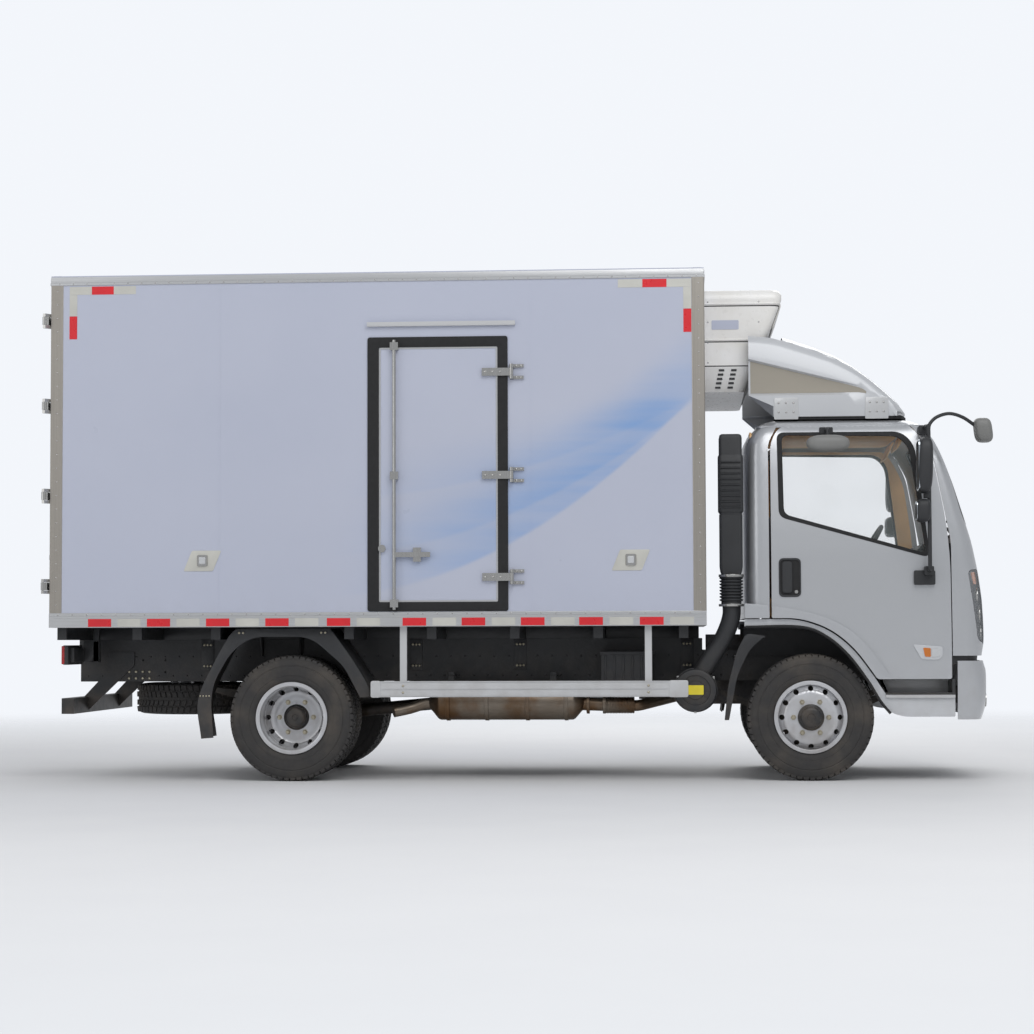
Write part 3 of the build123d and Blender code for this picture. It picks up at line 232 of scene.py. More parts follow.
def divided(outline, step):
    """An outline with points added so that no edge is longer than a step."""
    line = []
    for a, b in zip(outline, outline[1:] + outline[:1]):
        a, b = Vector(a), Vector(b)
        parts = max(1, math.ceil((b - a).length / step))
        line += [tuple(a.lerp(b, k / parts)) for k in range(parts)]
    return line


def skin(outline, holes, step, lift, thick):
    """A bent sheet: a flat outline with holes, filled with a net of triangles, lifted into space by
    lift(u, v, depth), where depth runs from 0 on the outer face to thick on the inner one."""
    loops = [divided(list(loop), step) for loop in [outline, *holes]]
    points, edges = [], []
    for loop in loops:
        start = len(points)
        points += [Vector(p) for p in loop]
        edges += [(start + i, start + (i + 1) % len(loop)) for i in range(len(loop))]
    low = np.min([p for p in loops[0]], axis=0)
    high = np.max([p for p in loops[0]], axis=0)
    for row, v in enumerate(np.arange(low[1] + step / 2, high[1], step)):
        for u in np.arange(low[0] + step / 2 + (row % 2) * step / 2, high[0], step):
            if inside((u, v), loops[0]) and not any(inside((u, v), hole) for hole in loops[1:]):
                points.append(Vector((u, v)))
    flat, _, triangles, *_ = delaunay_2d_cdt(points, edges, [], 1, 1e-4)
    keep = []
    for tri in triangles:
        middle = sum((flat[i] for i in tri), Vector((0, 0))) / 3
        if inside(middle, loops[0]) and not any(inside(middle, hole) for hole in loops[1:]):
            keep.append(tuple(tri))
    count = len(flat)
    solid = [lift(p.x, p.y, 0.0) for p in flat] + [lift(p.x, p.y, thick) for p in flat]
    faces = keep + [tuple(count + i for i in reversed(tri)) for tri in keep]
    uses = {}
    for tri in keep:
        for i in range(3):
            a, b = tri[i], tri[(i + 1) % 3]
            uses.setdefault(frozenset((a, b)), []).append((a, b))
    for pairs in uses.values():
        if len(pairs) == 1:
            a, b = pairs[0]
            faces.append((b, a, count + a, count + b))
    return solid, faces


print("helpers ready")

# %% [markdown]
# ## Surfaces
#
# A material is a small network of shader nodes. To keep the sums readable, one class wraps a socket, so
# that adding or multiplying two of them adds the node that does it. Every surface here has something that
# varies over it: flake in the paint, streaks in the metal, dust towards the ground.

# %% A socket that does sums
class Wire:
    """One value in a shader network."""

    def __init__(self, tree, socket):
        self.tree = tree
        self.socket = socket

    def node(self, kind, inputs=(), output=0, **settings):
        """Adds any other node, with inputs by name or number, and returns one of its outputs."""
        new = self.tree.nodes.new(kind)
        for key, value in settings.items():
            setattr(new, key, value)
        for key, value in dict(inputs).items():
            if isinstance(value, Wire):
                self.tree.links.new(value.socket, new.inputs[key])
            else:
                new.inputs[key].default_value = value
        return Wire(self.tree, new.outputs[output])

    def sum(self, operation, other=0.0, swap=False):
        first, second = (other, self) if swap else (self, other)
        return self.node("ShaderNodeMath", {0: first, 1: second}, operation=operation)

    def __add__(self, other):
        return self.sum("ADD", other)

    def __sub__(self, other):
        return self.sum("SUBTRACT", other)

    def __rsub__(self, other):
        return self.sum("SUBTRACT", other, swap=True)

    def __mul__(self, other):
        return self.sum("MULTIPLY", other)

    def __truediv__(self, other):
        return self.sum("DIVIDE", other)

    def __pow__(self, other):
        return self.sum("POWER", other)

    def __gt__(self, other):
        return self.sum("GREATER_THAN", other)

    def __lt__(self, other):
        return self.sum("LESS_THAN", other)

    __radd__ = __add__
    __rmul__ = __mul__


def rgb(*values):
    """A colour given as the eye sees it, 0 to 255, as Blender's linear colour."""
    line = [v / 255 for v in values]
    return (*[v / 12.92 if v <= 0.04045 else ((v + 0.055) / 1.055) ** 2.4 for v in line], 1.0)


class Surface:
    """A material being drawn: where it is, noise, ramps and its final inputs."""

    def __init__(self, name):
        self.material = bpy.data.materials.new(name)
        self.material.use_nodes = True
        self.tree = self.material.node_tree
        self.shader = next(n for n in self.tree.nodes if n.type == "BSDF_PRINCIPLED")
        start = Wire(self.tree, self.shader.outputs[0])
        self.place = start.node("ShaderNodeTexCoord", output="Object")
        split = start.node("ShaderNodeSeparateXYZ", {0: self.place})
        self.x, self.y, self.z = (Wire(self.tree, split.socket.node.outputs[i]) for i in range(3))

    def noise(self, scale, detail=3.0, stretch=None, rough=0.5):
        """Fractal noise from 0 to 1, about so many grains to the metre."""
        where = self.place
        if stretch:
            where = where.node("ShaderNodeVectorMath", {0: where, 1: stretch}, operation="MULTIPLY")
        return where.node("ShaderNodeTexNoise", {"Vector": where, "Scale": scale, "Detail": detail,
                                                 "Roughness": rough})

    def cells(self, scale, output="Distance"):
        return self.place.node("ShaderNodeTexVoronoi", {"Vector": self.place, "Scale": scale}, output=output)

    def ramp(self, value, low, high, to_low=0.0, to_high=1.0):
        """A smooth step of a value from one level to another."""
        return value.node("ShaderNodeMapRange", {0: value, 1: low, 2: high, 3: to_low, 4: to_high},
                          interpolation_type="SMOOTHSTEP")

    def mix(self, factor, first, second):
        """A colour between two colours."""
        return self.place.node("ShaderNodeMix", {0: factor, 6: first, 7: second}, output=2, data_type="RGBA")

    def bump(self, height, distance, strength=1.0):
        return self.place.node("ShaderNodeBump", {"Height": height, "Distance": distance,
                                                  "Strength": strength})

    def dust(self, colour, amount=1.0, top=1.1, tint=(118, 104, 88)):
        """Road dust that thickens towards the ground."""
        low = self.ramp(self.z, 0.05, top, 1.0, 0.0)
        patchy = self.ramp(self.noise(9.0, 5.0), 0.3, 0.75)
        return self.mix(low * patchy * amount, colour, rgb(*tint))

    def done(self, **inputs):
        for key, value in inputs.items():
            socket = self.shader.inputs[key.replace("_", " ")]
            if isinstance(value, Wire):
                self.tree.links.new(value.socket, socket)
            else:
                socket.default_value = value
        return self.material


print("shader sums ready")

# %% [markdown]
# Paint first. Metallic paint has fine flake under a clear coat. The box panels are a pale gel coat, and
# soft blue bands sweep up their front half. Each band has one crisp edge and fades away from it.

# %% Paints and panels
def paint(name, colour, metallic=0.55, rough=0.32, dust=0.25):
    s = Surface(name)
    flake = s.noise(900.0, 2.0)
    cloud = s.noise(1.3, 3.0)
    tone = s.mix(cloud * 0.25 + flake * 0.2, rgb(*colour), rgb(*[v * 0.86 for v in colour]))
    return s.done(Base_Color=s.dust(tone, dust, 0.95), Metallic=metallic,
                  Roughness=rough + (flake - 0.5) * 0.12,
                  Coat_Weight=0.7, Coat_Roughness=0.06,
                  Normal=s.bump(s.noise(55.0, 2.0), 0.0006, 0.35))


BANDS = ((1.16, 0.52, 0.62, 0.55), (1.42, 0.40, 0.50, 0.42), (1.78, 0.26, 0.38, 0.30))


def box_panel(name, banded):
    s = Surface(name)
    wave = s.noise(1.1, 2.0)
    tone = s.mix(wave, rgb(193, 197, 212), rgb(184, 189, 206))
    if banded:
        run = s.x + 1.25
        sweep = run * run
        for start, rise, width, strength in BANDS:
            height = s.z - start - sweep * (rise * 0.42)
            edge = s.ramp(height, 0.0, 0.035) * s.ramp(height, 0.0, width, 1.0, 0.0)
            along = s.ramp(s.x, -1.25, 0.2) * s.ramp(s.x, 1.24, 0.75, 0.35, 1.0)
            streak = s.ramp(s.noise(2.2, 3.0, (0.4, 1.0, 5.0)), 0.25, 0.8, 0.55, 1.0)
            tone = s.mix(edge * along * streak * strength, tone, rgb(96, 152, 214))
    return s.done(Base_Color=s.dust(tone, 0.5, 1.3), Roughness=0.24 + s.noise(6.0) * 0.14, Coat_Weight=0.35,
                  Coat_Roughness=0.1, Normal=s.bump(s.noise(2.4, 2.0), 0.004, 0.3))


def plastic(name, colour, rough=0.5, grain=420.0, depth=0.0006, dust=0.4, coat=0.0):
    s = Surface(name)
    tone = s.mix(s.noise(5.0, 4.0), rgb(*colour), rgb(*[min(255, v * 1.22 + 4) for v in colour]))
    return s.done(Base_Color=s.dust(tone, dust, 1.0), Roughness=rough + (s.noise(30.0) - 0.5) * 0.2,
                  Coat_Weight=coat,
                  Normal=s.bump(s.cells(grain), depth, 0.5))


SILVER = (196, 198, 201)
cab_paint = paint("cab_silver_paint", SILVER)
fairing_paint = paint("fairing_silver_paint", (208, 210, 213), 0.2, 0.46)
# Painted shade: a darker, browner paint for the fairing's recess below the crease, standing for the shade
# that falls in the fold.
painted_recess_shade = paint("fairing_painted_shade_material", (168, 161, 148), 0.2, 0.5)
panel_plain = box_panel("box_panel_plain", False)
panel_banded = box_panel("box_panel_banded", True)
ivory = plastic("unit_ivory_cover", (226, 221, 210), 0.3, 300.0, 0.0003, 0.25, 0.3)
black_plastic = plastic("black_moulded_plastic", (40, 41, 43))
mirror_grey = plastic("mirror_grey_plastic", (112, 112, 110), 0.45, 420.0, 0.0005, 0.0)
cabin_plastic = plastic("cabin_grained_plastic", (46, 46, 49), 0.6, 520.0, 0.0008, 0.0)
headliner = plastic("headliner_beige", (206, 168, 122), 0.8, 700.0, 0.0006, 0.0)
grey_enamel = paint("guard_grey_enamel", (206, 207, 208), 0.05, 0.35, 0.5)
chassis_black = plastic("chassis_satin_black", (34, 35, 37), 0.42, 60.0, 0.0008, 0.55)
seal_rubber = plastic("seal_rubber", (22, 22, 23), 0.7, 260.0, 0.0005, 0.15)
axle_black = plastic("axle_casting", (38, 36, 34), 0.6, 90.0, 0.002, 0.7)
label_yellow = plastic("blank_label_yellow", (226, 196, 44), 0.4, 500.0, 0.0002, 0.3)
tape_white = plastic("tape_white", (176, 175, 168), 0.4, 240.0, 0.0006, 0.25, 0.2)
tape_red = plastic("tape_red", (196, 24, 34), 0.3, 240.0, 0.0006, 0.25, 0.4)
print("paints and plastics ready")

# %% Metals, rubber, glass and cloth
def metal(name, colour, rough, stretch, stain=None, metallic=0.95, dust=0.25):
    s = Surface(name)
    streak = s.noise(60.0, 4.0, stretch)
    tone = s.mix(streak, rgb(*colour), rgb(*[v * 0.82 for v in colour]))
    if stain:
        tone = s.mix(s.ramp(s.noise(5.0, 5.0), 0.38, 0.68), tone, rgb(*stain))
    return s.done(Base_Color=s.dust(tone, dust, 1.0), Metallic=metallic,
                  Roughness=rough + (streak - 0.5) * 0.2,
                  Normal=s.bump(streak, 0.0004, 0.4))


def rubber(name):
    s = Surface(name)
    tone = s.mix(s.noise(14.0, 5.0), rgb(44, 44, 46), rgb(62, 59, 56))
    worn = s.mix(s.ramp(s.noise(4.0, 4.0), 0.45, 0.8) * 0.5, tone, rgb(104, 95, 84))
    return s.done(Base_Color=worn, Roughness=0.72 + (s.noise(40.0) - 0.5) * 0.2,
                  Normal=s.bump(s.noise(300.0, 3.0), 0.0012, 0.6))


def glass(name, colour, alpha, rough=0.02):
    s = Surface(name)
    smear = s.ramp(s.noise(3.0, 5.0), 0.4, 0.8)
    s.material.surface_render_method = "DITHERED"
    return s.done(Base_Color=rgb(*colour), Roughness=rough + smear * 0.03, Alpha=alpha + smear * 0.03,
                  Specular_IOR_Level=0.6)


def lens(name, colour, alpha=1.0):
    s = Surface(name)
    ribs = s.place.node("ShaderNodeTexWave", {"Vector": s.place, "Scale": 60.0, "Distortion": 0.3},
                        bands_direction="Z")
    tone = s.mix(s.ramp(ribs, 0.2, 0.9), rgb(*colour), rgb(*[v * 0.72 for v in colour]))
    return s.done(Base_Color=tone, Roughness=0.08 + s.noise(8.0) * 0.05, Alpha=alpha, Coat_Weight=0.8,
                  Normal=s.bump(ribs, 0.0008, 0.5))


def cloth(name, colour):
    s = Surface(name)
    warp = s.place.node("ShaderNodeTexWave", {"Vector": s.place, "Scale": 190.0, "Distortion": 0.6},
                        bands_direction="X")
    weft = s.place.node("ShaderNodeTexWave", {"Vector": s.place, "Scale": 190.0, "Distortion": 0.6},
                        bands_direction="Z")
    weave = warp * weft
    tone = s.mix(weave, rgb(*colour), rgb(*[v * 1.7 for v in colour]))
    return s.done(Base_Color=s.mix(s.noise(3.0) * 0.4, tone, rgb(*[v * 0.6 for v in colour])), Roughness=0.9,
                  Sheen_Weight=0.4, Normal=s.bump(weave, 0.001, 0.8))


alloy = metal("rail_alloy", (218, 219, 220), 0.34, (0.05, 1.0, 6.0), metallic=0.75)
# The posts' alloy is darker and warmer than the rails': partly the metal's tone, partly painted shade, as of
# a post standing in shade.
post_alloy_painted_shade = metal("post_alloy_painted_shade", (184, 178, 169), 0.36, (6.0, 1.0, 0.05), metallic=0.75)
stainless = metal("polished_stainless", (206, 205, 202), 0.2, (3.0, 3.0, 0.2))
tread_plate = metal("deck_plate_alloy", (170, 171, 172), 0.4, (0.1, 4.0, 4.0))
exhaust_steel = metal("exhaust_steel", (150, 140, 128), 0.42, (0.2, 3.0, 3.0), stain=(112, 84, 58), dust=0.6)
tank_alloy = metal("tank_alloy", (176, 178, 180), 0.34, (0.1, 3.0, 3.0), dust=0.5)
cast_metal = metal("rough_casting", (96, 96, 98), 0.6, (1.0, 1.0, 1.0), stain=(60, 54, 48), dust=0.6)
rim_paint = paint("rim_silver_paint", (212, 213, 216), 0.5, 0.34, 0.45)
zinc = metal("zinc_nut", (208, 200, 178), 0.34, (2.0, 2.0, 2.0))
tyre_rubber = rubber("tyre_rubber")
mirror_glass = metal("mirror_glass", (214, 220, 226), 0.04, (1.0, 1.0, 1.0), metallic=1.0, dust=0.0)
window_glass = glass("window_glass", (206, 218, 218), 0.07)
lamp_glass = glass("lamp_glass", (236, 240, 244), 0.13)
lens_red = lens("lens_red", (190, 18, 20))
lens_amber = lens("lens_amber", (232, 130, 30))
lens_clear = lens("lens_clear", (226, 228, 230))
seat_cloth = cloth("seat_cloth", (58, 58, 64))
print("metals, rubber, glass and cloth ready")

# %% [markdown]
# The CAD pieces that stay as they are get these materials now. Pieces built later take the place of some of
# them.

# %% Dress the CAD pieces
DRESS = {
    "chassis_black": chassis_black, "axle_iron": axle_black, "engine_metal": cast_metal,
    "exhaust_steel": exhaust_steel, "black_plastic": black_plastic, "guard_grey": grey_enamel,
    "lamp_red": lens_red,
    "lamp_clear": lens_clear, "tank_alloy": tank_alloy, "tyre_rubber": tyre_rubber, "rim_silver": rim_paint,
    "box_alloy": tread_plate, "box_panel": panel_plain, "stainless": stainless, "unit_ivory": ivory,
    "cab_silver": cab_paint, "fairing_silver": fairing_paint, "cabin_dark": cabin_plastic,
    "seat_fabric": seat_cloth,
    "window_glass": window_glass,
}
for subpart in frame["record"]["subparts"]:
    mesh = nodes[subpart["node"]].data
    mesh.materials.clear()
    mesh.materials.append(DRESS[subpart["material_slot"]])
    mesh.polygons.foreach_set("material_index", [0] * len(mesh.polygons))
for name in ("box_wall_left", "box_wall_right", "side_door"):
    nodes[name].data.materials[0] = panel_banded
print("dressed", len(nodes), "CAD pieces")

# %% [markdown]
# ## Wheels
#
# What repeats is made by two small Geometry Nodes trees. One sets copies of a shape round a circle, for
# tread blocks, wheel nuts and hand holes; the other sets them along a line, for rivets. Their sizes are
# named inputs. Each result is taken as a plain mesh and joined into the piece that it belongs to.

# %% Two trees for what repeats
def new_tree(name, sockets):
    tree = bpy.data.node_groups.new(name, "GeometryNodeTree")
    tree.interface.new_socket("Geometry", in_out="OUTPUT", socket_type="NodeSocketGeometry")
    for label, kind in sockets:
        tree.interface.new_socket(label, in_out="INPUT", socket_type=kind)
    return tree, tree.nodes.new("NodeGroupInput"), tree.nodes.new("NodeGroupOutput")


def add_node(tree, kind, links=(), **settings):
    node = tree.nodes.new(kind)
    for key, value in settings.items():
        setattr(node, key, value)
    for key, source in dict(links).items():
        tree.links.new(source, node.inputs[key])
    return node


def ring_tree():
    """Copies of an object round a circle, each with its own x pointing outward."""
    tree, given, result = new_tree("ring_of_copies", (
        ("Shape", "NodeSocketObject"), ("Count", "NodeSocketInt"), ("Radius", "NodeSocketFloat"),
        ("Look", "NodeSocketMaterial")))
    circle = add_node(tree, "GeometryNodeMeshCircle", {"Vertices": given.outputs["Count"],
                                                       "Radius": given.outputs["Radius"]})
    spot = add_node(tree, "GeometryNodeInputPosition")
    aim = add_node(tree, "FunctionNodeAlignRotationToVector", {"Vector": spot.outputs[0]}, axis="X",
                   pivot_axis="Z")
    shape = add_node(tree, "GeometryNodeObjectInfo", {"Object": given.outputs["Shape"]})
    copies = add_node(tree, "GeometryNodeInstanceOnPoints", {
        "Points": circle.outputs[0], "Instance": shape.outputs["Geometry"], "Rotation": aim.outputs[0]})
    real = add_node(tree, "GeometryNodeRealizeInstances", {0: copies.outputs[0]})
    look = add_node(tree, "GeometryNodeSetMaterial",
                    {"Geometry": real.outputs[0], "Material": given.outputs["Look"]})
    tree.links.new(look.outputs[0], result.inputs[0])
    return tree


def row_tree():
    """Copies of an object along a straight line."""
    tree, given, result = new_tree("row_of_copies", (
        ("Shape", "NodeSocketObject"), ("Count", "NodeSocketInt"), ("Start", "NodeSocketVector"),
        ("Step", "NodeSocketVector"), ("Look", "NodeSocketMaterial")))
    line = add_node(tree, "GeometryNodeMeshLine", {"Count": given.outputs["Count"],
                                                   "Start Location": given.outputs["Start"],
                                                   "Offset": given.outputs["Step"]})
    shape = add_node(tree, "GeometryNodeObjectInfo", {"Object": given.outputs["Shape"]})
    copies = add_node(tree, "GeometryNodeInstanceOnPoints", {"Points": line.outputs[0],
                                                             "Instance": shape.outputs["Geometry"]})
    real = add_node(tree, "GeometryNodeRealizeInstances", {0: copies.outputs[0]})
    look = add_node(tree, "GeometryNodeSetMaterial",
                    {"Geometry": real.outputs[0], "Material": given.outputs["Look"]})
    tree.links.new(look.outputs[0], result.inputs[0])
    return tree


def copies(tree, part, look, **inputs):
    """Runs a tree on a part given in plain millimetres and returns its points and faces."""
    source = bpy.data.meshes.new("source")
    source.from_pydata([tuple(p) for p in part[0]], [], [list(f) for f in part[1]])
    shape = bpy.data.objects.new("source", source)
    holder = bpy.data.objects.new("holder", bpy.data.meshes.new("holder"))
    for thing in (shape, holder):
        bpy.context.scene.collection.objects.link(thing)
    modifier = holder.modifiers.new("copies", "NODES")
    modifier.node_group = tree
    values = {"Shape": shape, "Look": look, **inputs}
    for item in tree.interface.items_tree:
        if item.in_out == "INPUT":
            modifier[item.identifier] = values[item.name]
    bpy.context.view_layer.update()
    result = bpy.data.meshes.new_from_object(holder.evaluated_get(bpy.context.evaluated_depsgraph_get()))
    points = [tuple(v.co) for v in result.vertices]
    faces = [tuple(p.vertices) for p in result.polygons]
    holder.modifiers.remove(modifier)
    for thing in (shape, holder):
        bpy.data.objects.remove(thing)
    bpy.data.meshes.remove(result)
    return points, faces


RING = ring_tree()
ROW = row_tree()


def ring(part, count, radius, centre, side, look):
    """A ring of copies round an axle; the part's own z points outward along it."""
    points, faces = copies(RING, part, look, Count=count, Radius=float(radius))
    cx, cy, cz = centre
    return [(cx + x, cy + side * z, cz + y) for x, y, z in points], faces


def row(part, count, start, step, look):
    return copies(ROW, part, look, Count=count, Start=start, Step=step)


print("two trees ready:", RING.name, ROW.name)

# %% [markdown]
# A tyre is a turned carcass with rings of tread blocks on it. A rim is a turned barrel and a pressed disc:
# a flat sheet with round holes in it, lifted into a dish by a rule that gives its depth at each radius.

# %% Tyres
TYRE_R = 402
WHEELS = (
    ("front", 0, 840, (0,), 1), ("rear", -3308, 795, (125, -125), -1),
)
CARCASS_HALF = [
    (78, 216), (79, 230), (84, 236), (92, 248), (98, 268), (98, 272), (101, 274), (103, 296), (105, 314),
    (104, 330),
    (101, 333), (101, 338), (103, 341), (101, 358), (96, 374), (90, 382), (80, 388), (40, 391), (0, 392),
]
CARCASS = [(t, r) for t, r in CARCASS_HALF] + [(-t, r) for t, r in CARCASS_HALF[-2::-1]]
TREAD_R = 390
TREAD_ROWS = ((54, 92, 17, 0, 60), (9, 46, 15, 20, 60), (-46, -9, 15, 8, 60), (-92, -54, 17, 26, 60))


def tread_block(low, high, half, shift):
    """One block, its outward edge cut back at the shoulder; x is radial, y along the tread, z across it."""
    edge_low = -14 if low < -80 else -2
    edge_high = -14 if high > 80 else -2
    top_low = 5 if low < -80 else 11
    top_high = 5 if high > 80 else 11
    skew = 9 if low > 0 else -9
    foot = [(edge_low, shift - half, low), (edge_low, shift + half, low),
            (edge_high, shift + half + skew, high),
            (edge_high, shift - half + skew, high)]
    crown = [(top_low, shift - half + 2, low + 2), (top_low, shift + half - 2, low + 2),
             (top_high, shift + half - 2 + skew, high - 2), (top_high, shift - half + 2 + skew, high - 2)]
    return loft([foot, crown])


def tyre(centre, side):
    parts = [turned(CARCASS, centre, 96, side=side)]
    for low, high, half, shift, count in TREAD_ROWS:
        parts.append(ring(tread_block(low, high, half, shift), count, TREAD_R, centre, side, tyre_rubber))
    return join(*parts)


for axle, x, y, twins, out in WHEELS:
    for name, side in (("left", 1), ("right", -1)):
        body = f"front_wheel_{name}" if axle == "front" else f"rear_wheels_{name}"
        node = f"front_tyre_{name}" if axle == "front" else f"rear_tyres_{name}"
        tyres = join(*[tyre((x, side * (y + t), TYRE_R), side) for t in twins])
        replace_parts(piece(f"{axle}_treaded_tyre_{name}", body, "tyre_rubber", tyre_rubber, *tyres), node)
print("tyres:", 2 * sum(len(w[3]) for w in WHEELS))

# %% Rims, nuts, hubs and drums
BARREL = [
    (-88, 206), (-92, 222), (-91, 230), (-86, 232), (-81, 228), (-78, 215), (78, 215), (81, 228), (86, 232),
    (91, 230),
    (93, 222), (88, 206), (60, 198), (-60, 198),
]
DISC_OFFSET = 125
HAND_HOLES = 12
HOLE_CIRCLE = 183


def circle(radius, centre=(0, 0), count=24):
    return [(centre[0] + radius * math.cos(a), centre[1] + radius * math.sin(a))
            for a in np.linspace(0, 2 * math.pi, count, endpoint=False)]


def disc_depth(radius):
    """How far out the pressed disc stands at a radius."""
    t = min(1.0, max(0.0, (204 - radius) / 40))
    raised = 68 + (DISC_OFFSET - 68) * t * t * (3 - 2 * t)
    ridge = 3.5 * math.exp(-((radius - 146) / 9) ** 2)
    return raised + ridge - 5 * math.exp(-((radius - 86) / 8) ** 2)


def disc(centre, side, out):
    holes = [circle(50, count=36)]
    for k in range(HAND_HOLES):
        angle = 2 * math.pi * k / HAND_HOLES
        radial = Vector((math.cos(angle), math.sin(angle)))
        along = Vector((-math.sin(angle), math.cos(angle)))
        holes.append([tuple(radial * (HOLE_CIRCLE + a) + along * b) for a, b in circle(17, count=16)])

    def lift(u, v, depth):
        stand = disc_depth(math.hypot(u, v)) - depth
        return centre[0] + u, centre[1] + side * out * stand, centre[2] + v

    return skin(circle(204, count=72), holes, 11, lift, 8)


def hex_nut():
    flats = [(14 * math.cos(a), 14 * math.sin(a)) for a in np.linspace(0, 2 * math.pi, 6, endpoint=False)]
    rings = [[(a * k, b * k, h) for a, b in flats]
             for k, h in ((1.28, 0), (1.28, 3), (1.0, 3), (1.0, 17), (0.82, 20))]
    stud = loft([[(6.5 * math.cos(a), 6.5 * math.sin(a), h) for a in np.linspace(0, 6.1, 10)]
                 for h in (18, 28)])
    return join(loft(rings), stud)


FRONT_HUB = [(100, 0), (100, 84), (128, 84), (134, 80), (138, 71), (156, 67), (164, 60), (169, 46),
             (169, 26), (165, 22),
             (165, 0)]
REAR_HUB = [(-40, 0), (-40, 84), (10, 84), (18, 80), (24, 70), (68, 65), (78, 57), (83, 42), (83, 20),
            (79, 16), (79, 0)]
FRONT_DRUM = [(-66, 136), (-66, 152), (4, 152), (4, 192), (12, 192), (14, 146), (14, 50), (2, 50), (2, 136)]
REAR_DRUM = [(-170, 146), (-170, 163), (-34, 163), (-30, 156), (-30, 54), (-42, 54), (-42, 146)]

for axle, x, y, twins, out in WHEELS:
    for name, side in (("left", 1), ("right", -1)):
        body = f"front_wheel_{name}" if axle == "front" else f"rear_wheels_{name}"
        node = f"front_rim_{name}" if axle == "front" else f"rear_rims_{name}"
        hub_at = (x, side * y, TYRE_R)
        rims = []
        for index, shift in enumerate(twins):
            middle = (x, side * (y + shift), TYRE_R)
            rims += [turned(BARREL, middle, 96, side=side), disc(middle, side, out if index == 0 else -out)]
        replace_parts(piece(f"{axle}_rim_{name}", body, "rim_silver", rim_paint, *join(*rims)), node)
        face = (DISC_OFFSET if axle == "front" else 8)
        nut_at = (x, side * (y + face), TYRE_R)
        nuts = ring(hex_nut(), 6, 111, nut_at, side, zinc)
        piece(f"{axle}_wheel_nuts_{name}", body, "rim_silver", zinc, *nuts, angle=math.radians(20))
        hub = turned(FRONT_HUB if axle == "front" else REAR_HUB, hub_at, 48, side=side)
        piece(f"{axle}_hub_{name}", body, "axle_iron", chassis_black, *hub)
        drum = turned(FRONT_DRUM if axle == "front" else REAR_DRUM, hub_at, 48, side=side)
        piece(f"{axle}_drum_{name}", body, "axle_iron", axle_black, *drum)
print("rims with", HAND_HOLES, "hand holes each")

# %% [markdown]
# The spare wheel hangs flat under the tail. It is the same tyre and rim, made about the origin and then
# laid flat, and a carrier with a wide foot holds its disc up against the frame.

# %% Spare wheel
SPARE_AT = (-4130, 0, 510)
CARRIER_TOP = 150


def laid_flat(part):
    """Turns a part made about the origin so that its axle stands upright at the spare wheel's place."""
    points, faces = part
    return [(SPARE_AT[0] + x, SPARE_AT[1] - z, SPARE_AT[2] + y) for x, y, z in points], faces


spare_tyre = laid_flat(tyre((0, 0, 0), 1))
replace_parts(piece("spare_treaded_tyre", "chassis", "tyre_rubber", tyre_rubber, *spare_tyre), "spare_wheel")
spare_rim = join(turned(BARREL, (0, 0, 0), 96), disc((0, 0, 0), 1, 1))
piece("spare_rim", "chassis", "rim_silver", rim_paint, *laid_flat(spare_rim))
carrier = [(DISC_OFFSET - 14, 0), (DISC_OFFSET - 14, 74), (DISC_OFFSET - 4, 78), (DISC_OFFSET + 3, 62),
           (CARRIER_TOP, 58), (CARRIER_TOP, 0)]
piece("spare_carrier", "chassis", "axle_iron", chassis_black, *laid_flat(turned(carrier, (0, 0, 0), 32)))
print("spare wheel laid flat at x", SPARE_AT[0])

# %% [markdown]
# ## The insulated box
#
# Aluminium rails close the box's long edges and posts close its corners. They stand a few millimetres proud
# of the panels, and a row of rivets holds each. Reflective tape runs along the lower rail and round the
# upper corners.

# %% Rails and posts
BOX = (-4858, -658)
SIDE_Y = 1120


def along(profile, x):
    """A (y, z) profile drawn out between two places along the truck."""
    return loft([[(place, y, z) for y, z in profile] for place in x])


LOWER_RAIL = [(1118, 985), (1126, 985), (1127, 987), (1127, 1042), (1125, 1044), (1125, 1056), (1127, 1058),
              (1127, 1075), (1125, 1078), (1118, 1078)]
UPPER_RAIL = [(1118, 3190), (1125, 3190), (1127, 3193), (1127, 3206), (1124, 3209), (1124, 3232),
              (1121, 3245),
              (1112, 3252), (1098, 3254), (1052, 3254), (1052, 3250), (1118, 3248)]
END_RAIL = [(y - SIDE_Y, z) for y, z in UPPER_RAIL]
rails = join(along(LOWER_RAIL, BOX), along(UPPER_RAIL, BOX))
piece("box_side_rails", "chassis", "box_alloy", alloy, *both(rails), angle=math.radians(25))

across = []
for end, way in ((BOX[0], -1), (BOX[1], 1)):
    across.append(loft([[(end + way * d, y, z) for d, z in END_RAIL] for y in (-1116, 1116)]))
floor_edge = [(d, z) for d, z in ((-2, 985), (4, 985), (5, 990), (5, 1070), (3, 1078), (-2, 1078))]
for end, way in ((BOX[0], -1), (BOX[1], 1)):
    across.append(loft([[(end + way * d * 0.6, y, z) for d, z in floor_edge] for y in (-1118, 1118)]))
piece("box_end_rails", "chassis", "box_alloy", alloy, *join(*across), angle=math.radians(25))


def post(end, way):
    """A corner angle: one leg on the side, one on the end, with a round nose."""
    legs = [(78, 1118), (78, 1123), (74, 1125), (8, 1126), (0, 1123), (-3, 1116), (-3.5, 1058), (1, 1058),
            (1, 1118)]
    return loft([[(end + way * d, y, z) for d, y in legs] for z in (1077, 3191)])


posts = both(join(post(BOX[1], -1)))
rear_legs = [(80, 1118), (80, 1122), (76, 1124), (3, 1125), (1, 1121), (1, 1118)]
rear_post = loft([[(BOX[0] + d, y, z) for d, y in rear_legs] for z in (1077, 3191)])
# The corner posts wear the darker alloy, whose tone is partly painted shade.
piece("box_corner_posts", "chassis", "box_alloy", post_alloy_painted_shade, *join(posts, both(rear_post)),
      angle=math.radians(25))
print("rails, end rails and posts on the box")

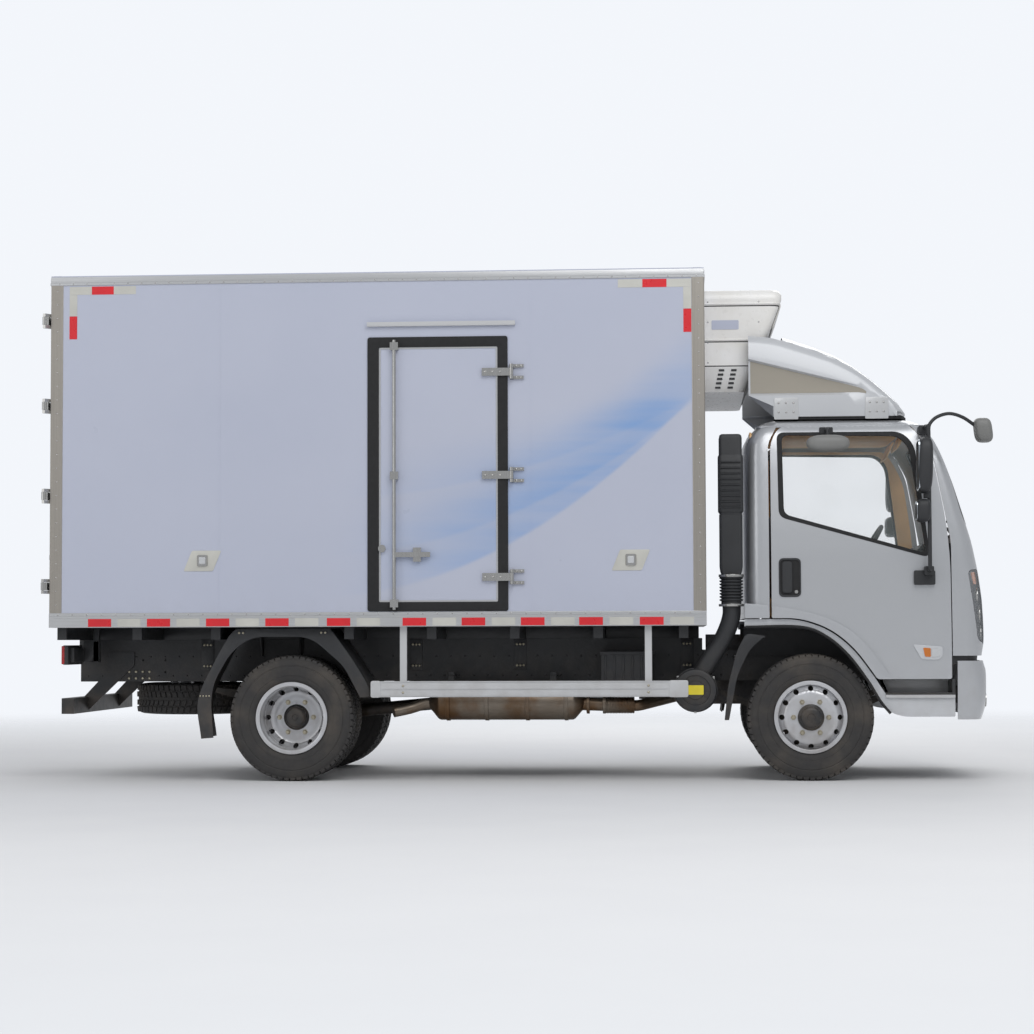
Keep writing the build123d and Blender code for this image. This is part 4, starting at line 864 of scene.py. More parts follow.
# %% Rivets
def rivet(radius=5.0, height=2.6):
    """A low dome that stands towards the right side."""
    rings = [[(radius * k * math.cos(a), -height * h, radius * k * math.sin(a))
              for a in np.linspace(0, 5.5, 8)]
             for k, h in ((1.0, -0.4), (1.0, 0.1), (0.8, 0.62), (0.42, 0.93))]
    return loft(rings)


RIVET_ROWS = (
    (44, (-4800, -1127, 1066), (94, 0, 0)), (47, (-4800, -1127, 3199.5), (89, 0, 0)),
    (24, (-693, -1125, 1130), (0, 0, 88)), (24, (-4815, -1124, 1130), (0, 0, 88)),
)
rivets = join(*[row(rivet(), count, start, step, stainless) for count, start, step in RIVET_ROWS])
piece("box_rivets", "chassis", "stainless", stainless, *both(rivets))
print("rivets:", 2 * sum(r[0] for r in RIVET_ROWS))

# %% Reflective tape and panel joints
def strip(x, z, y=SIDE_Y, thick=1.4):
    return block(x, (-y - thick, -y + 0.5), z)


RED_STARTS = (-4603, -4221, -3839, -3457, -3062, -2578, -2202, -1826, -1457, -1075)
RED_LONG = 150
TAPE_GAP = 41
red, white = [], []
for start in RED_STARTS:
    red.append(strip((start, start + RED_LONG), (990, 1040), 1127))
    white.append(strip((start + RED_LONG + TAPE_GAP, start + 2 * RED_LONG + TAPE_GAP), (990, 1040), 1127))
for low, high, upright in ((-4737, -4304, -4737), (-1202, -738, -788)):
    third = (high - low) / 3
    white += [strip((low, low + third), (3130, 3182)), strip((high - third, high), (3130, 3182))]
    red.append(strip((low + third + 1, high - third - 1), (3130, 3182)))
    white.append(strip((upright, upright + 50), (2992, 3129)))
    red.append(strip((upright, upright + 50), (2842, 2990)))
piece("box_tape_red", "chassis", "lamp_red", tape_red, *both(join(*red)))
piece("box_tape_white", "chassis", "lamp_clear", tape_white, *both(join(*white)))
joints = [strip((x - 5, x + 5), (1078, 3190), thick=1.0) for x in (-3757, -1760)]
piece("box_panel_joints", "chassis", "box_panel", panel_banded, *both(join(*joints)))
print("tape:", len(red), "red and", len(white), "white lengths a side")

# %% [markdown]
# The side door closes on a fat black gasket. Its hinges, lock rod and handle are the CAD pieces in
# stainless steel; here they get bolts, and the wall's hinge leaves get covers of the same steel.

# %% Side door and rear door dressing
def frame_ring(outer, inner, corner):
    """A flat ring between two rectangles of ((x, x), (z, z)), as an outline and its hole."""
    def rect(r):
        return [(r[0][0], r[1][0]), (r[0][1], r[1][0]), (r[0][1], r[1][1]), (r[0][0], r[1][1])]
    return rounded(rect(outer), corner), rounded(rect(inner), corner * 0.5)


def pad_lift(face, proud):
    """Holds a flat sheet a little proud of the box's right side."""
    def lift(u, v, depth):
        return u, -(face + proud - depth), v
    return lift


outer, inner = frame_ring(((-2802, -1905), (1081, 2830)), ((-2729, -1970), (1140, 2764)), 18)
gasket = skin(outer, [inner], 60, pad_lift(SIDE_Y, 8), 9)
bevelled(piece("side_door_gasket", "side_door_body", "black_plastic", seal_rubber, *gasket), 3)
lip_out, lip_in = frame_ring(((-2729, -1970), (1140, 2764)), ((-2718, -1981), (1151, 2753)), 14)
trim = skin(lip_out, [lip_in], 60, pad_lift(SIDE_Y, 3), 4)
piece("side_door_trim", "side_door_body", "box_alloy", alloy, *trim)

SIDE_HINGE_X = -1879
covers, wall_bolts, strap_bolts = [], [], []
bolt = rivet(8.0, 5.0)
for z in (1296, 1943, 2600):
    for low in (z - 47.6, z + 26.4):
        covers.append(block((SIDE_HINGE_X - 12.6, SIDE_HINGE_X + 76), (-1133, -1119), (low, low + 21.2)))
        covers.append(turned([(0, 0), (0, 13), (21.2, 13), (21.2, 0)], (SIDE_HINGE_X, -1155, low), 20,
                             axis="z"))
        covers.append(block((SIDE_HINGE_X - 12.6, SIDE_HINGE_X + 12.6), (-1155, -1119), (low, low + 21.2)))
        wall_bolts.append(row(bolt, 2, (SIDE_HINGE_X + 28, -1133, low + 10.6), (30, 0, 0), stainless))
    strap_bolts.append(row(bolt, 3, (-2050, -1140, z), (48, 0, 0), stainless))
piece("side_door_hinge_leaves", "chassis", "stainless", stainless, *join(*covers, *wall_bolts))
piece("side_door_hinge_bolts", "side_door_body", "stainless", stainless, *join(*strap_bolts))
gutter = along([(-1119, 2898), (-1143, 2898), (-1145, 2902), (-1145, 2926), (-1142, 2926), (-1141, 2903),
                (-1119, 2924)], (-2804, -1856))
piece("side_door_gutter", "chassis", "box_alloy", grey_enamel, *gutter)

PLATES = ((-3865, 1408), (-1129, 1399))
plates, lamps, hoods = [], [], []
for x, z in PLATES:
    shape = rounded([(x - 122, z - 66), (x + 68, z - 66), (x + 122, z + 66), (x - 68, z + 66)], 12)
    plates.append(loft([[(u, -(1119 + t), w) for u, w in shape] for t in (0, 4)]))
    hoods.append(loft([[(u, -(1122 + t), w) for u, w in rounded(
        [(x - s, z - 34), (x + s, z - 34), (x + s, z + 38), (x - s, z + 38)], 10)]
                       for t, s in ((0, 36), (10, 30))]))
    lamps.append(loft([[(u, -(1130 + t), w) for u, w in rounded(
        [(x - s, z - s), (x + s, z - s), (x + s, z + s + 4), (x - s, z + s + 4)], 8)]
                       for t, s in ((0, 22), (8, 18))]))
bevelled(piece("side_marker_plates", "chassis", "box_panel", tape_white, *both(join(*plates))), 1.5)
piece("side_marker_hoods", "chassis", "stainless", stainless, *both(join(*hoods)))
piece("side_marker_lamps", "chassis", "lamp_clear", lens_clear, *both(join(*lamps)))

for name, side in (("left", 1), ("right", -1)):
    outer, inner = frame_ring(((10, 1040), (1087, 3084)), ((62, 984), (1140, 3030)), 12)

    def rear_lift(u, v, depth, side=side):
        return BOX[0] - 6 + depth, side * u, v

    seal = skin(outer, [inner], 80, rear_lift, 7)
    piece(f"rear_door_gasket_{name}", f"rear_door_{name}_body", "black_plastic", seal_rubber, *seal)
print("side door, marker plates and rear doors dressed")

# %% [markdown]
# ## The cab
#
# The cab's shape is given by four short tables: how wide it is at each height, where its nose and its back
# are, and where the door's front edge runs. A level cut through the cab is a rounded corner between those,
# drawn as a superellipse. Each panel is a sheet laid over that form, so neighbouring panels meet along
# their shut lines.

# %% The cab's form
HALF_WIDTH = ((380, 962), (640, 974), (800, 981), (1000, 985), (1450, 984), (1600, 977), (1800, 962),
              (2000, 944),
              (2150, 924), (2210, 908), (2250, 884), (2280, 850), (2296, 812), (2305, 760))
NOSE_X = ((388, 1100), (789, 1108), (840, 1120), (887, 1126), (1000, 1124), (1146, 1117), (1309, 1094),
          (1505, 1051),
          (1668, 1001), (1886, 931), (2105, 845), (2180, 808), (2230, 770), (2268, 722), (2290, 676),
          (2305, 600))
BACK_X = ((380, -414), (2095, -414), (2150, -408), (2200, -391), (2245, -356), (2268, -325), (2285, -290),
          (2305, -214))
DOOR_FRONT = ((380, 885), (838, 885), (1524, 881), (2040, 785), (2190, 700), (2262, 640), (2305, 600))
DOOR_REAR = ((380, -242), (2150, -242), (2262, -180), (2305, -170))
CREASE = ((-414, 1122), (-247, 1107), (0, 1058), (248, 978), (400, 800), (513, 643), (600, 560))
FLARE = 4
CORNER_POWER = 5.0


def read(table, at_value):
    """Reads a table of (place, value) pairs, smoothed a little between its rows."""
    places, values = zip(*table)
    spread = 25
    return float(np.mean(np.interp([at_value - spread, at_value, at_value + spread], places, values)))


def ease(value, low, high):
    t = min(1.0, max(0.0, (value - low) / (high - low)))
    return t * t * (3 - 2 * t)


def flare(x, z):
    """How far the panel stands out below the crease that runs over the wheel arch."""
    return FLARE * ease(float(np.interp(x, *zip(*CREASE))) - z, 0, 95)


def side_lift(side, proud=0.0):
    """Lays a side outline of (x, z) on the cab's flank."""
    def lift(x, z, depth):
        return x, side * (read(HALF_WIDTH, z) + flare(x, z) + proud - depth), z
    return lift


corner_cache = {}


def corner(edge, end, width):
    """Points and running length of a rounded corner from the middle of an end to the edge on the flank."""
    key = (round(edge, 1), round(end, 1), round(width, 1))
    if key not in corner_cache:
        turn = np.linspace(0, 1, 90) ** 2.2 * math.pi / 2
        y = width * np.sin(turn) ** (2 / CORNER_POWER)
        x = edge + (end - edge) * np.clip(np.cos(turn), 0, 1) ** (2 / CORNER_POWER)
        run = np.concatenate(([0], np.cumsum(np.hypot(np.diff(x), np.diff(y)))))
        corner_cache[key] = (x, y, run / run[-1])
    return corner_cache[key]


def wrap_lift(edge_table, end_table, gap, proud=0.0):
    """Wraps an outline of (s, z) round an end of the cab; s runs from -1000 to 1000, flank to flank."""
    def lift(s, z, depth):
        edge = read(edge_table, z) + gap
        end = read(end_table, z)
        inward = depth - proud
        way = 1 if end > edge else -1
        x, y, run = corner(edge, end - way * inward, read(HALF_WIDTH, z) - inward)
        part = abs(s) / 1000
        side = 1 if s >= 0 else -1
        return float(np.interp(part, run, x)), side * float(np.interp(part, run, y)), z
    return lift


front_wrap = wrap_lift(DOOR_FRONT, NOSE_X, 6)
back_wrap = wrap_lift(DOOR_REAR, BACK_X, -14)
print("cab form: width at the waist", 2 * read(HALF_WIDTH, 1450), "mm")

# %% Front panel, windscreen and back
SCREEN = rounded([(0, 1572), (500, 1586), (858, 1648), (838, 2196), (0, 2220), (-838, 2196), (-858, 1648),
                  (-500, 1586)],
                 [200, 300, 80, 80, 300, 80, 80, 300])
LAMP_R = rounded([(-690, 850), (-852, 885), (-908, 1330), (-790, 1338)], 34)
LAMP_L = [(-s, z) for s, z in LAMP_R]
GRILLE = rounded([(-470, 838), (470, 838), (455, 1004), (-455, 1004)], 26)
edge_left = [(1000, z) for z in np.linspace(789, 2266, 40)]
front_outline = edge_left + [(-s, z) for s, z in edge_left[::-1]]
front = skin(front_outline, [SCREEN, LAMP_R, LAMP_L, GRILLE], 34, front_wrap, 22)
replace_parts(piece("cab_front_panel", "cab", "cab_silver", cab_paint, *front), "cab_front")


def shrunk(outline, by):
    """An outline drawn in towards its middle."""
    middle = sum((Vector(p) for p in outline), Vector((0, 0))) / len(outline)
    line = []
    for p in outline:
        away = Vector(p) - middle
        line.append(tuple(middle + away * (1 - by / away.length)))
    return line


def sunk(lift, depth):
    return lambda u, v, more: lift(u, v, depth + more)


screen = skin(shrunk(SCREEN, 4), [], 40, sunk(front_wrap, 8), 5)
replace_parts(piece("windscreen_glass", "cab", "window_glass", window_glass, *screen), "windshield")
border = skin(shrunk(SCREEN, -10), [shrunk(SCREEN, 34)], 34, sunk(front_wrap, -1.5), 8)
piece("windscreen_seal", "cab", "black_plastic", seal_rubber, *border)

edge_up = [(1000, z) for z in np.linspace(1030, 2266, 36)]
back = skin(edge_up + [(-s, z) for s, z in edge_up[::-1]], [], 40, back_wrap, 40)
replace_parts(piece("cab_back_panel", "cab", "cab_silver", cab_paint, *back), "cab_back")
print("cab front with windscreen, and cab back")

# %% Roof
def roof_lift(x, y, depth):
    """The roof is level in the middle and rolls over to the flanks, the nose and the back."""
    flank = float(np.interp(abs(y), [700, 760, 812, 850, 884], [2305, 2304, 2296, 2280, 2250]))
    ahead = float(np.interp(x, [520, 600, 676, 722, 770], [2305, 2304, 2289, 2268, 2232]))
    behind = float(np.interp(-x, [150, 214, 290, 325, 356], [2305, 2304, 2285, 2267, 2245]))
    return x, y, max(2262, flank + ahead + behind - 2 * 2305) - depth


roof = skin(rounded([(-326, -866), (722, -866), (722, 866), (-326, 866)], 70), [], 36, roof_lift, 14)
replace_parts(piece("cab_roof_panel", "cab", "cab_silver", cab_paint, *roof), "cab_roof")
print("cab roof")

# %% Doors
DOOR = rounded([(-242, 1030), (-65, 1030), (122, 966), (278, 840), (401, 669), (420, 643), (885, 643),
                (885, 838),
                (881, 1524), (785, 2040), (700, 2190), (640, 2262), (-180, 2262), (-242, 2150)],
               [14, 90, 110, 120, 30, 20, 16, 200, 300, 200, 90, 60, 70, 70])
WINDOW = rounded([(-180, 2205), (575, 2198), (649, 2121), (742, 1424), (-172, 1683)], [46, 60, 60, 52, 46])
for name, side in (("left", 1), ("right", -1)):
    flank = side_lift(side)
    shell = skin(DOOR, [WINDOW], 34, flank, 26)
    door = piece(f"cab_door_shell_{name}", f"cab_door_{name}_body", "cab_silver", cab_paint, *shell)
    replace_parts(door, f"cab_door_{name}")
    lining = skin(shrunk(DOOR, 44), [shrunk(WINDOW, -6)], 60, sunk(flank, 27), 44)
    piece(f"cab_door_lining_{name}", f"cab_door_{name}_body", "cabin_dark", headliner, *lining)
    seal = skin(shrunk(WINDOW, -22), [shrunk(WINDOW, 14)], 24, side_lift(side, 2.0), 34)
    bevelled(piece(f"door_window_seal_{name}", f"cab_door_{name}_body", "black_plastic", seal_rubber,
                   *seal), 1.5)
print("two cab doors")

# %% The raised arch below the crease
ARCH_FACE = [(-242, 1109), (-80, 1082), (100, 1034), (248, 956), (360, 850), (450, 730), (512, 643),
             (424, 643), (401, 669),
             (278, 840), (122, 966), (-65, 1030), (-242, 1030)]
ARCH_ROUND = [8, 200, 200, 120, 120, 120, 10, 16, 30, 120, 110, 90, 8]
ARCH_TAIL = [(-412, 1124), (-258, 1111), (-258, 1030), (-412, 1030)]
tails = []
for name, side in (("left", 1), ("right", -1)):
    face = skin(rounded(ARCH_FACE, ARCH_ROUND), [], 26, side_lift(side, 21), 32)
    bevelled(piece(f"door_arch_{name}", f"cab_door_{name}_body", "cab_silver", cab_paint, *face), 19, 4)
    tails.append(skin(rounded(ARCH_TAIL, 6), [], 26, side_lift(side, 21), 32))
bevelled(piece("cab_back_arches", "cab", "cab_silver", cab_paint, *join(*tails)), 19, 4)
LINER = ((-410, 966), (-66, 964), (110, 922), (270, 830), (370, 736), (452, 632), (506, 506))
liner_line = [(p[0], p[1]) for p in curve_through([(x, z, 0) for x, z in LINER], 6)]
liner_wall = [(-408, 1000), (600, 1000), (600, 790), (-408, 790)]
thick_line = liner_line + [(x - 5, z + 6) for x, z in liner_line[::-1]]
liners = join(slab(thick_line, (-944, -560)), slab(liner_wall, (-476, -470)))
piece("wheel_arch_liners", "cab", "black_plastic", black_plastic, *both(liners))
print("raised arches and liners")

# %% [markdown]
# ## Bumper, lamps and steps
#
# The bumper is wrapped round the nose like the front panel, with its own rear edge and its own nose line.
# Openings are cut where the headlamps, the grille and the fog lamps go. Each gets a back, and the headlamps
# also get walls and a glass.

# %% Bumper and grille
BUMPER_EDGE = ((380, 920), (800, 920))
BUMPER_NOSE = ((388, 1096), (420, 1118), (480, 1132), (560, 1137), (690, 1137), (730, 1128), (757, 1110))
bumper_wrap = wrap_lift(BUMPER_EDGE, BUMPER_NOSE, 0)
INTAKE = rounded([(-430, 430), (430, 430), (470, 545), (-470, 545)], 24)
FOG = [rounded([(c - 78, 455), (c + 78, 455), (c + 66, 560), (c - 66, 560)], 22) for c in (-640, 640)]
bumper_edge = [(1000, z) for z in np.linspace(388, 757, 14)]
bumper_outline = bumper_edge + [(-s, z) for s, z in bumper_edge[::-1]]
bumper = piece("bumper_skin", "cab", "cab_silver", cab_paint,
               *skin(bumper_outline, [INTAKE, *FOG], 30, bumper_wrap, 20))
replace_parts(bumper, "front_bumper")
dark = [skin([(-1000, 735), (1000, 735), (1000, 806), (-1000, 806)], [], 40,
             sunk(front_wrap, 26), 8)]
dark += [skin(shrunk(hole, -8), [], 40, sunk(bumper_wrap, 24), 6) for hole in [INTAKE, *FOG]]
dark.append(skin(shrunk(GRILLE, -8), [], 40, sunk(front_wrap, 26), 6))
piece("nose_backing", "cab", "black_plastic", black_plastic, *join(*dark))
slats = [skin([(-444, z), (444, z), (444, z + 17), (-444, z + 17)], [], 40, sunk(front_wrap, 4), 20)
         for z in (856, 893, 930, 967)]
slats += [skin([(-430, z), (430, z), (430, z + 15), (-430, z + 15)], [], 40, sunk(bumper_wrap, 5), 17)
          for z in (455, 490, 522)]
bevelled(piece("grille_slats", "cab", "black_plastic", grey_enamel, *join(*slats)), 2, 2)
plate = skin(rounded([(-200, 592), (200, 592), (200, 722), (-200, 722)], 10), [], 40, sunk(bumper_wrap, -5),
             4)
piece("number_plate_blank", "cab", "black_plastic", panel_plain, *plate)
print("bumper with", len(FOG) + 1, "openings and", len(slats), "slats")

# %% Headlamps and fog lamps
lenses, walls, bowls, bulbs, amber = [], [], [], [], []
for lamp in (LAMP_R, LAMP_L):
    lenses.append(skin(shrunk(lamp, 4), [], 26, sunk(front_wrap, 2), 4))
    walls.append(skin(shrunk(lamp, 1), [shrunk(lamp, 7)], 30, sunk(front_wrap, 6), 62))
    walls.append(skin(shrunk(lamp, 2), [], 30, sunk(front_wrap, 62), 6))
    middle = -1 if lamp is LAMP_R else 1
    for s, z, size in ((778, 926, 52), (800, 1046, 56), (826, 1166, 50)):
        x, y, z = front_wrap(middle * s, z, 20)
        bowls.append(turned([(4, size), (-8, size * 0.86), (-24, size * 0.55), (-34, 6), (-38, 6),
                             (-30, size * 0.6),
                             (-12, size * 0.92), (0, size + 4), (4, size + 4)], (x, y, z), 32, "x"))
        bulbs.append(turned([(-34, 0.5), (-30, 9), (-14, 10), (-6, 6), (-4, 0.5)], (x, y, z), 20, "x"))
    strip_line = [(middle * s, z) for s, z in ((800, 1240), (858, 1240), (880, 1316), (808, 1318))]
    amber.append(skin(rounded(strip_line, 12), [], 26, sunk(front_wrap, 14), 8))
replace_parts(piece("headlamp_glass", "cab", "lamp_clear", lamp_glass, *join(*lenses)), "headlamps")
for hole in FOG:
    middle = sum(s for s, _ in hole) / len(hole)
    x, y, z = bumper_wrap(middle, 508, 4)
    bowls.append(turned([(6, 44), (0, 40), (-10, 26), (-14, 5), (-18, 5), (-14, 30), (-2, 47), (6, 47)],
                        (x, y, z), 32, "x"))
    bulbs.append(turned([(4, 0.5), (3, 30), (-1, 40), (-4, 40), (-2, 0.5)], (x, y, z), 32, "x"))
piece("lamp_walls", "cab", "black_plastic", black_plastic, *join(*walls))
piece("lamp_bowls", "cab", "stainless", stainless, *join(*bowls))
piece("lamp_bulbs", "cab", "lamp_clear", lens_clear, *join(*bulbs))
piece("lamp_indicators", "cab", "lamp_red", lens_amber, *join(*amber))
print(len(lenses), "headlamps and", len(FOG), "fog lamps")

# %% Wipers
arms, blades = [], []
for pivot, tip in ((-330, 120), (220, 640)):
    arm = [front_wrap(s, z, d) for s, z, d in ((pivot, 1548, -6), (pivot + 30, 1572, -22),
                                               ((pivot + tip) / 2, 1640, -24), (tip - 120, 1668, -22))]
    arms.append(tube(curve_through(arm, 6), 6, 10))
    x, y, z = front_wrap(pivot, 1548, 0)
    arms.append(turned([(-8, 0.5), (-8, 20), (10, 17), (16, 9), (16, 0.5)], (x, y, z), 24, "x"))
    blades.append(tube([front_wrap(s, 1622 + 46 * (s - pivot) / (tip - pivot) + 14, -9)
                        for s in np.linspace(pivot + 30, tip + 130, 14)], 7, 8, 1.4))
piece("wiper_arms", "cab", "black_plastic", black_plastic, *join(*arms))
piece("wiper_blades", "cab", "black_plastic", seal_rubber, *join(*blades))
print("two wipers")

# %% Wheel arch lips and steps
LIP = [(-414, 1024), (-80, 1024), (115, 960), (272, 834), (396, 664), (470, 549), (905, 549), (905, 405),
       (586, 405),
       (500, 430), (440, 505), (360, 640), (240, 800), (100, 920), (-66, 979), (-414, 978)]
LIP_ROUND = [4, 90, 110, 120, 40, 14, 10, 10, 60, 50, 40, 120, 120, 110, 90, 4]
lip_outline = rounded(LIP, LIP_ROUND)
lips, rims, treads, ends = [], [], [], []
for side in (1, -1):
    lips.append(skin(lip_outline, [], 26, side_lift(side, -14), 40))
    edge_line = curve_through([(x, side * 984, z) for x, z in ((-410, 974), (-66, 974), (98, 914), (236, 795),
                                                               (356, 635), (436, 502), (498, 427))], 6)
    rims.append(tube(edge_line, 9, 10))
    treads.append(block((470, 905), sorted((side * 742, side * 975)), (523, 547)))
    treads.append(block((470, 905), sorted((side * 740, side * 760)), (547, 690)))
    ends.append(block((884, 905), sorted((side * 745, side * 978)), (547, 643)))
    ends.append(block((470, 905), sorted((side * 950, side * 979)), (545, 558)))
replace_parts(piece("arch_lip_and_skirt", "cab", "cab_silver", fairing_paint, *join(*lips)), "arch_steps")
piece("arch_lip_seal", "cab", "black_plastic", seal_rubber, *join(*rims))
bevelled(piece("step_wells", "cab", "black_plastic", grey_enamel, *join(*treads)), 4)
bevelled(piece("step_end_plates", "cab", "black_plastic", black_plastic, *join(*ends)), 3)
ridges = both(row(block((0, 9), (-95, 95), (0, 4)), 20, (482, -858, 547), (21, 0, 0), tread_plate))
piece("step_ridges", "cab", "stainless", tread_plate, *ridges)
print("arch lips and steps")

# %% [markdown]
# ## Mirrors, handles and seats
#
# A mirror housing is a pod: a stack of rounded level cuts that draw in towards the top and the bottom. Each
# hangs on the bars that the drawing gives it, and the main and wide mirrors have a glass set into the rear
# face.

# %% Mirrors
def pod(x, y, z, power=3.6, corner_power=4.0, lean=0.0, count=40):
    """A rounded housing between (low, high) pairs; lean moves its top along x."""
    cx, cy, cz = (sum(pair) / 2 for pair in (x, y, z))
    hx, hy, hz = ((pair[1] - pair[0]) / 2 for pair in (x, y, z))
    rings = []
    for t in np.sin(np.linspace(-math.pi / 2, math.pi / 2, 23)):
        size = max(0.02, (1 - abs(t) ** power) ** (1 / power))
        ring = []
        for a in np.linspace(0, 2 * math.pi, count, endpoint=False):
            c, s = math.cos(a), math.sin(a)
            u = math.copysign(abs(c) ** (2 / corner_power), c)
            v = math.copysign(abs(s) ** (2 / corner_power), s)
            ring.append((cx + hx * u * size + lean * t, cy + hy * v * size, cz + hz * t))
        rings.append(ring)
    return loft(rings)


def glass_face(x, y, z, inset, round_by):
    """A mirror glass on a housing's rear face."""
    line = rounded([(y[0] + inset, z[0] + inset), (y[1] - inset, z[0] + inset), (y[1] - inset, z[1] - inset),
                    (y[0] + inset, z[1] - inset)], round_by)
    return loft([[(x - 1.5, b, c) for b, c in line], [(x + 8, b, c) for b, c in line]])


MAIN = ((664, 762), (-1228, -1032), (1806, 2158))
WIDE = ((654, 746), (-1208, -1047), (1626, 1771))
stem = curve_through([(741, -1004, 1325), (741, -1100, 1330), (741, -1120, 1370), (741, -1120, 1700),
                      (741, -1120, 2180),
                      (736, -1105, 2228), (728, -990, 2232), (726, -920, 2216)], 6)
bars = [tube(stem, 13, 14), slab(rounded([(652, 1236), (784, 1236), (784, 1327), (652, 1327)], 12),
                                 (-1016, -984))]
bars += [slab(rounded([(712, 1296), (770, 1296), (770, 1352), (712, 1352)], 10), (-1080, -1010))]
bars += [slab(rounded([(692, 2192), (764, 2192), (764, 2246), (692, 2246)], 14), (-1000, -900))]
bars += [tube([(728, -1120, z), (728, -1120, z + 42)], 24, 18) for z in (1776, 2120)]
housings = [pod(*MAIN, lean=6), pod(*WIDE, lean=2)]
faces = [glass_face(671, *MAIN[1:], 17, 44), glass_face(659, *WIDE[1:], 15, 34)]
for name, change in (("right", lambda part: part), ("left", mirror)):
    body = f"cab_door_{name}_body"
    arm = [change(part) for part in bars]
    shells = [change(part) for part in housings]
    mirror_arm = piece(f"mirror_stem_{name}", body, "black_plastic", black_plastic, *join(*arm))
    bevelled(mirror_arm, 4, 3, 50)
    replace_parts(mirror_arm, f"mirrors_{name}")
    piece(f"mirror_housings_{name}", body, "black_plastic", black_plastic, *join(*shells),
          angle=math.radians(60))
    piece(f"mirror_glass_{name}", body, "stainless", mirror_glass, *join(*[change(part) for part in faces]))

front_arm = curve_through([(741, -1118, 2200), (752, -1112, 2246), (800, -1090, 2290), (880, -1060, 2312),
                           (965, -1033, 2290), (1046, -1010, 2238)], 8)
look_arm = curve_through([(115, -908, 2226), (115, -990, 2230), (115, -1050, 2216), (115, -1062, 2176)], 6)
piece("front_mirror_arms", "cab_door_right_body", "black_plastic", black_plastic,
      *join(tube(front_arm, 11, 14), tube(look_arm, 11, 14),
            slab(rounded([(72, 2204), (158, 2204), (158, 2246),
                                                                          (72, 2246)], 8), (-918, -880))))
FRONT_MIRROR = ((1038, 1148), (-1088, -932), (2132, 2286))
LOOK_DOWN = ((-19, 252), (-1148, -1002), (2076, 2184))
pods = [pod(*FRONT_MIRROR, lean=-9), pod(*LOOK_DOWN, power=2.6, corner_power=3.2)]
piece("kerb_mirrors", "cab_door_right_body", "black_plastic", mirror_grey, *join(*pods),
      angle=math.radians(60))
print("mirrors on both doors, and two kerb mirrors on the right")

# %% Door handles and turn lamps
CUP = rounded([(-196, 1163), (-56, 1163), (-56, 1410), (-196, 1410)], 34)
BEZEL = rounded([(640, 862), (826, 846), (826, 786), (796, 764), (694, 768)], [16, 12, 16, 14, 16])
AMBER = rounded([(704, 840), (752, 838), (752, 782), (716, 783)], 8)
CLEAR = rounded([(757, 838), (814, 834), (814, 792), (790, 780), (757, 781)], 8)
for name, side in (("left", 1), ("right", -1)):
    body = f"cab_door_{name}_body"
    cup = skin(CUP, [shrunk(CUP, 13)], 30, side_lift(side, 6), 12)
    bar = rounded([(-174, 1190), (-112, 1190), (-112, 1388), (-174, 1388)], 20)

    def grip_lift(x, z, depth, side=side):
        return x, side * (985 + 9 * ease(60 - abs(x + 143), 0, 60) + 6 - depth), z

    grip = skin(bar, [], 18, grip_lift, 16)
    bevelled(piece(f"door_handle_{name}", body, "black_plastic", black_plastic, *join(cup, grip)), 2.5)
    floor_part = skin(shrunk(CUP, 10), [], 40, side_lift(side, 1.5), 8)
    lock = turned([(2, 0.5), (2, 13), (8, 11), (8, 0.5)], (-86, side * 985, 1196), 24, "y", side)
    piece(f"door_handle_cup_{name}", body, "black_plastic", seal_rubber, *floor_part)
    piece(f"door_lock_{name}", body, "stainless", stainless, *lock)
    bevelled(piece(f"turn_lamp_bezel_{name}", body, "cab_silver", fairing_paint,
                   *skin(BEZEL, [], 30, side_lift(side, 8), 12)), 3)
    bevelled(piece(f"turn_lamp_amber_{name}", body, "lamp_red", lens_amber,
                   *skin(AMBER, [], 14, side_lift(side, 11), 8)), 2)
    bevelled(piece(f"turn_lamp_clear_{name}", body, "lamp_clear", lens_clear,
                   *skin(CLEAR, [], 14, side_lift(side, 11), 8)), 2)
print("door handles and turn lamps")

# %% [markdown]
# A seat is three pillows: each is a sheet over a rectangle that swells in the middle, is drawn in along its
# sides and has sewn channels across it. The lower face is nearly flat, because it rests on the seat's
# frame.

# %% Seats and cabin trim
def pillow(centre, along, across, up, size, crown, channels):
    """A padded form: size is (half length, half width, height above and below its rim)."""
    along, across, up = (Vector(v).normalized() for v in (along, across, up))
    half_a, half_b, high, low = size
    steps_a, steps_b = 30, 24
    points, faces = [], []
    for top in (True, False):
        start = len(points)
        for i in range(steps_a + 1):
            for j in range(steps_b + 1):
                u, v = -math.cos(math.pi * i / steps_a), -math.cos(math.pi * j / steps_b)
                rim = ((1 - abs(u) ** 4) * (1 - abs(v) ** 4)) ** 0.3
                lift = high * rim + crown * (1 - u * u) * (1 - v * v) if top else -low * rim
                if top:
                    lift -= sum(11 * math.exp(-((u - c) / 0.045) ** 2) for c in channels) * rim
                a = half_a * u * (1 - 0.035 * (1 - v * v))
                b = half_b * v * (1 - 0.045 * (1 - u * u))
                points.append(tuple(Vector(centre) + along * a + across * b + up * lift))
        for i in range(steps_a):
            for j in range(steps_b):
                p = start + i * (steps_b + 1) + j
                faces.append((p, p + 1, p + steps_b + 2, p + steps_b + 1))
    return points, faces


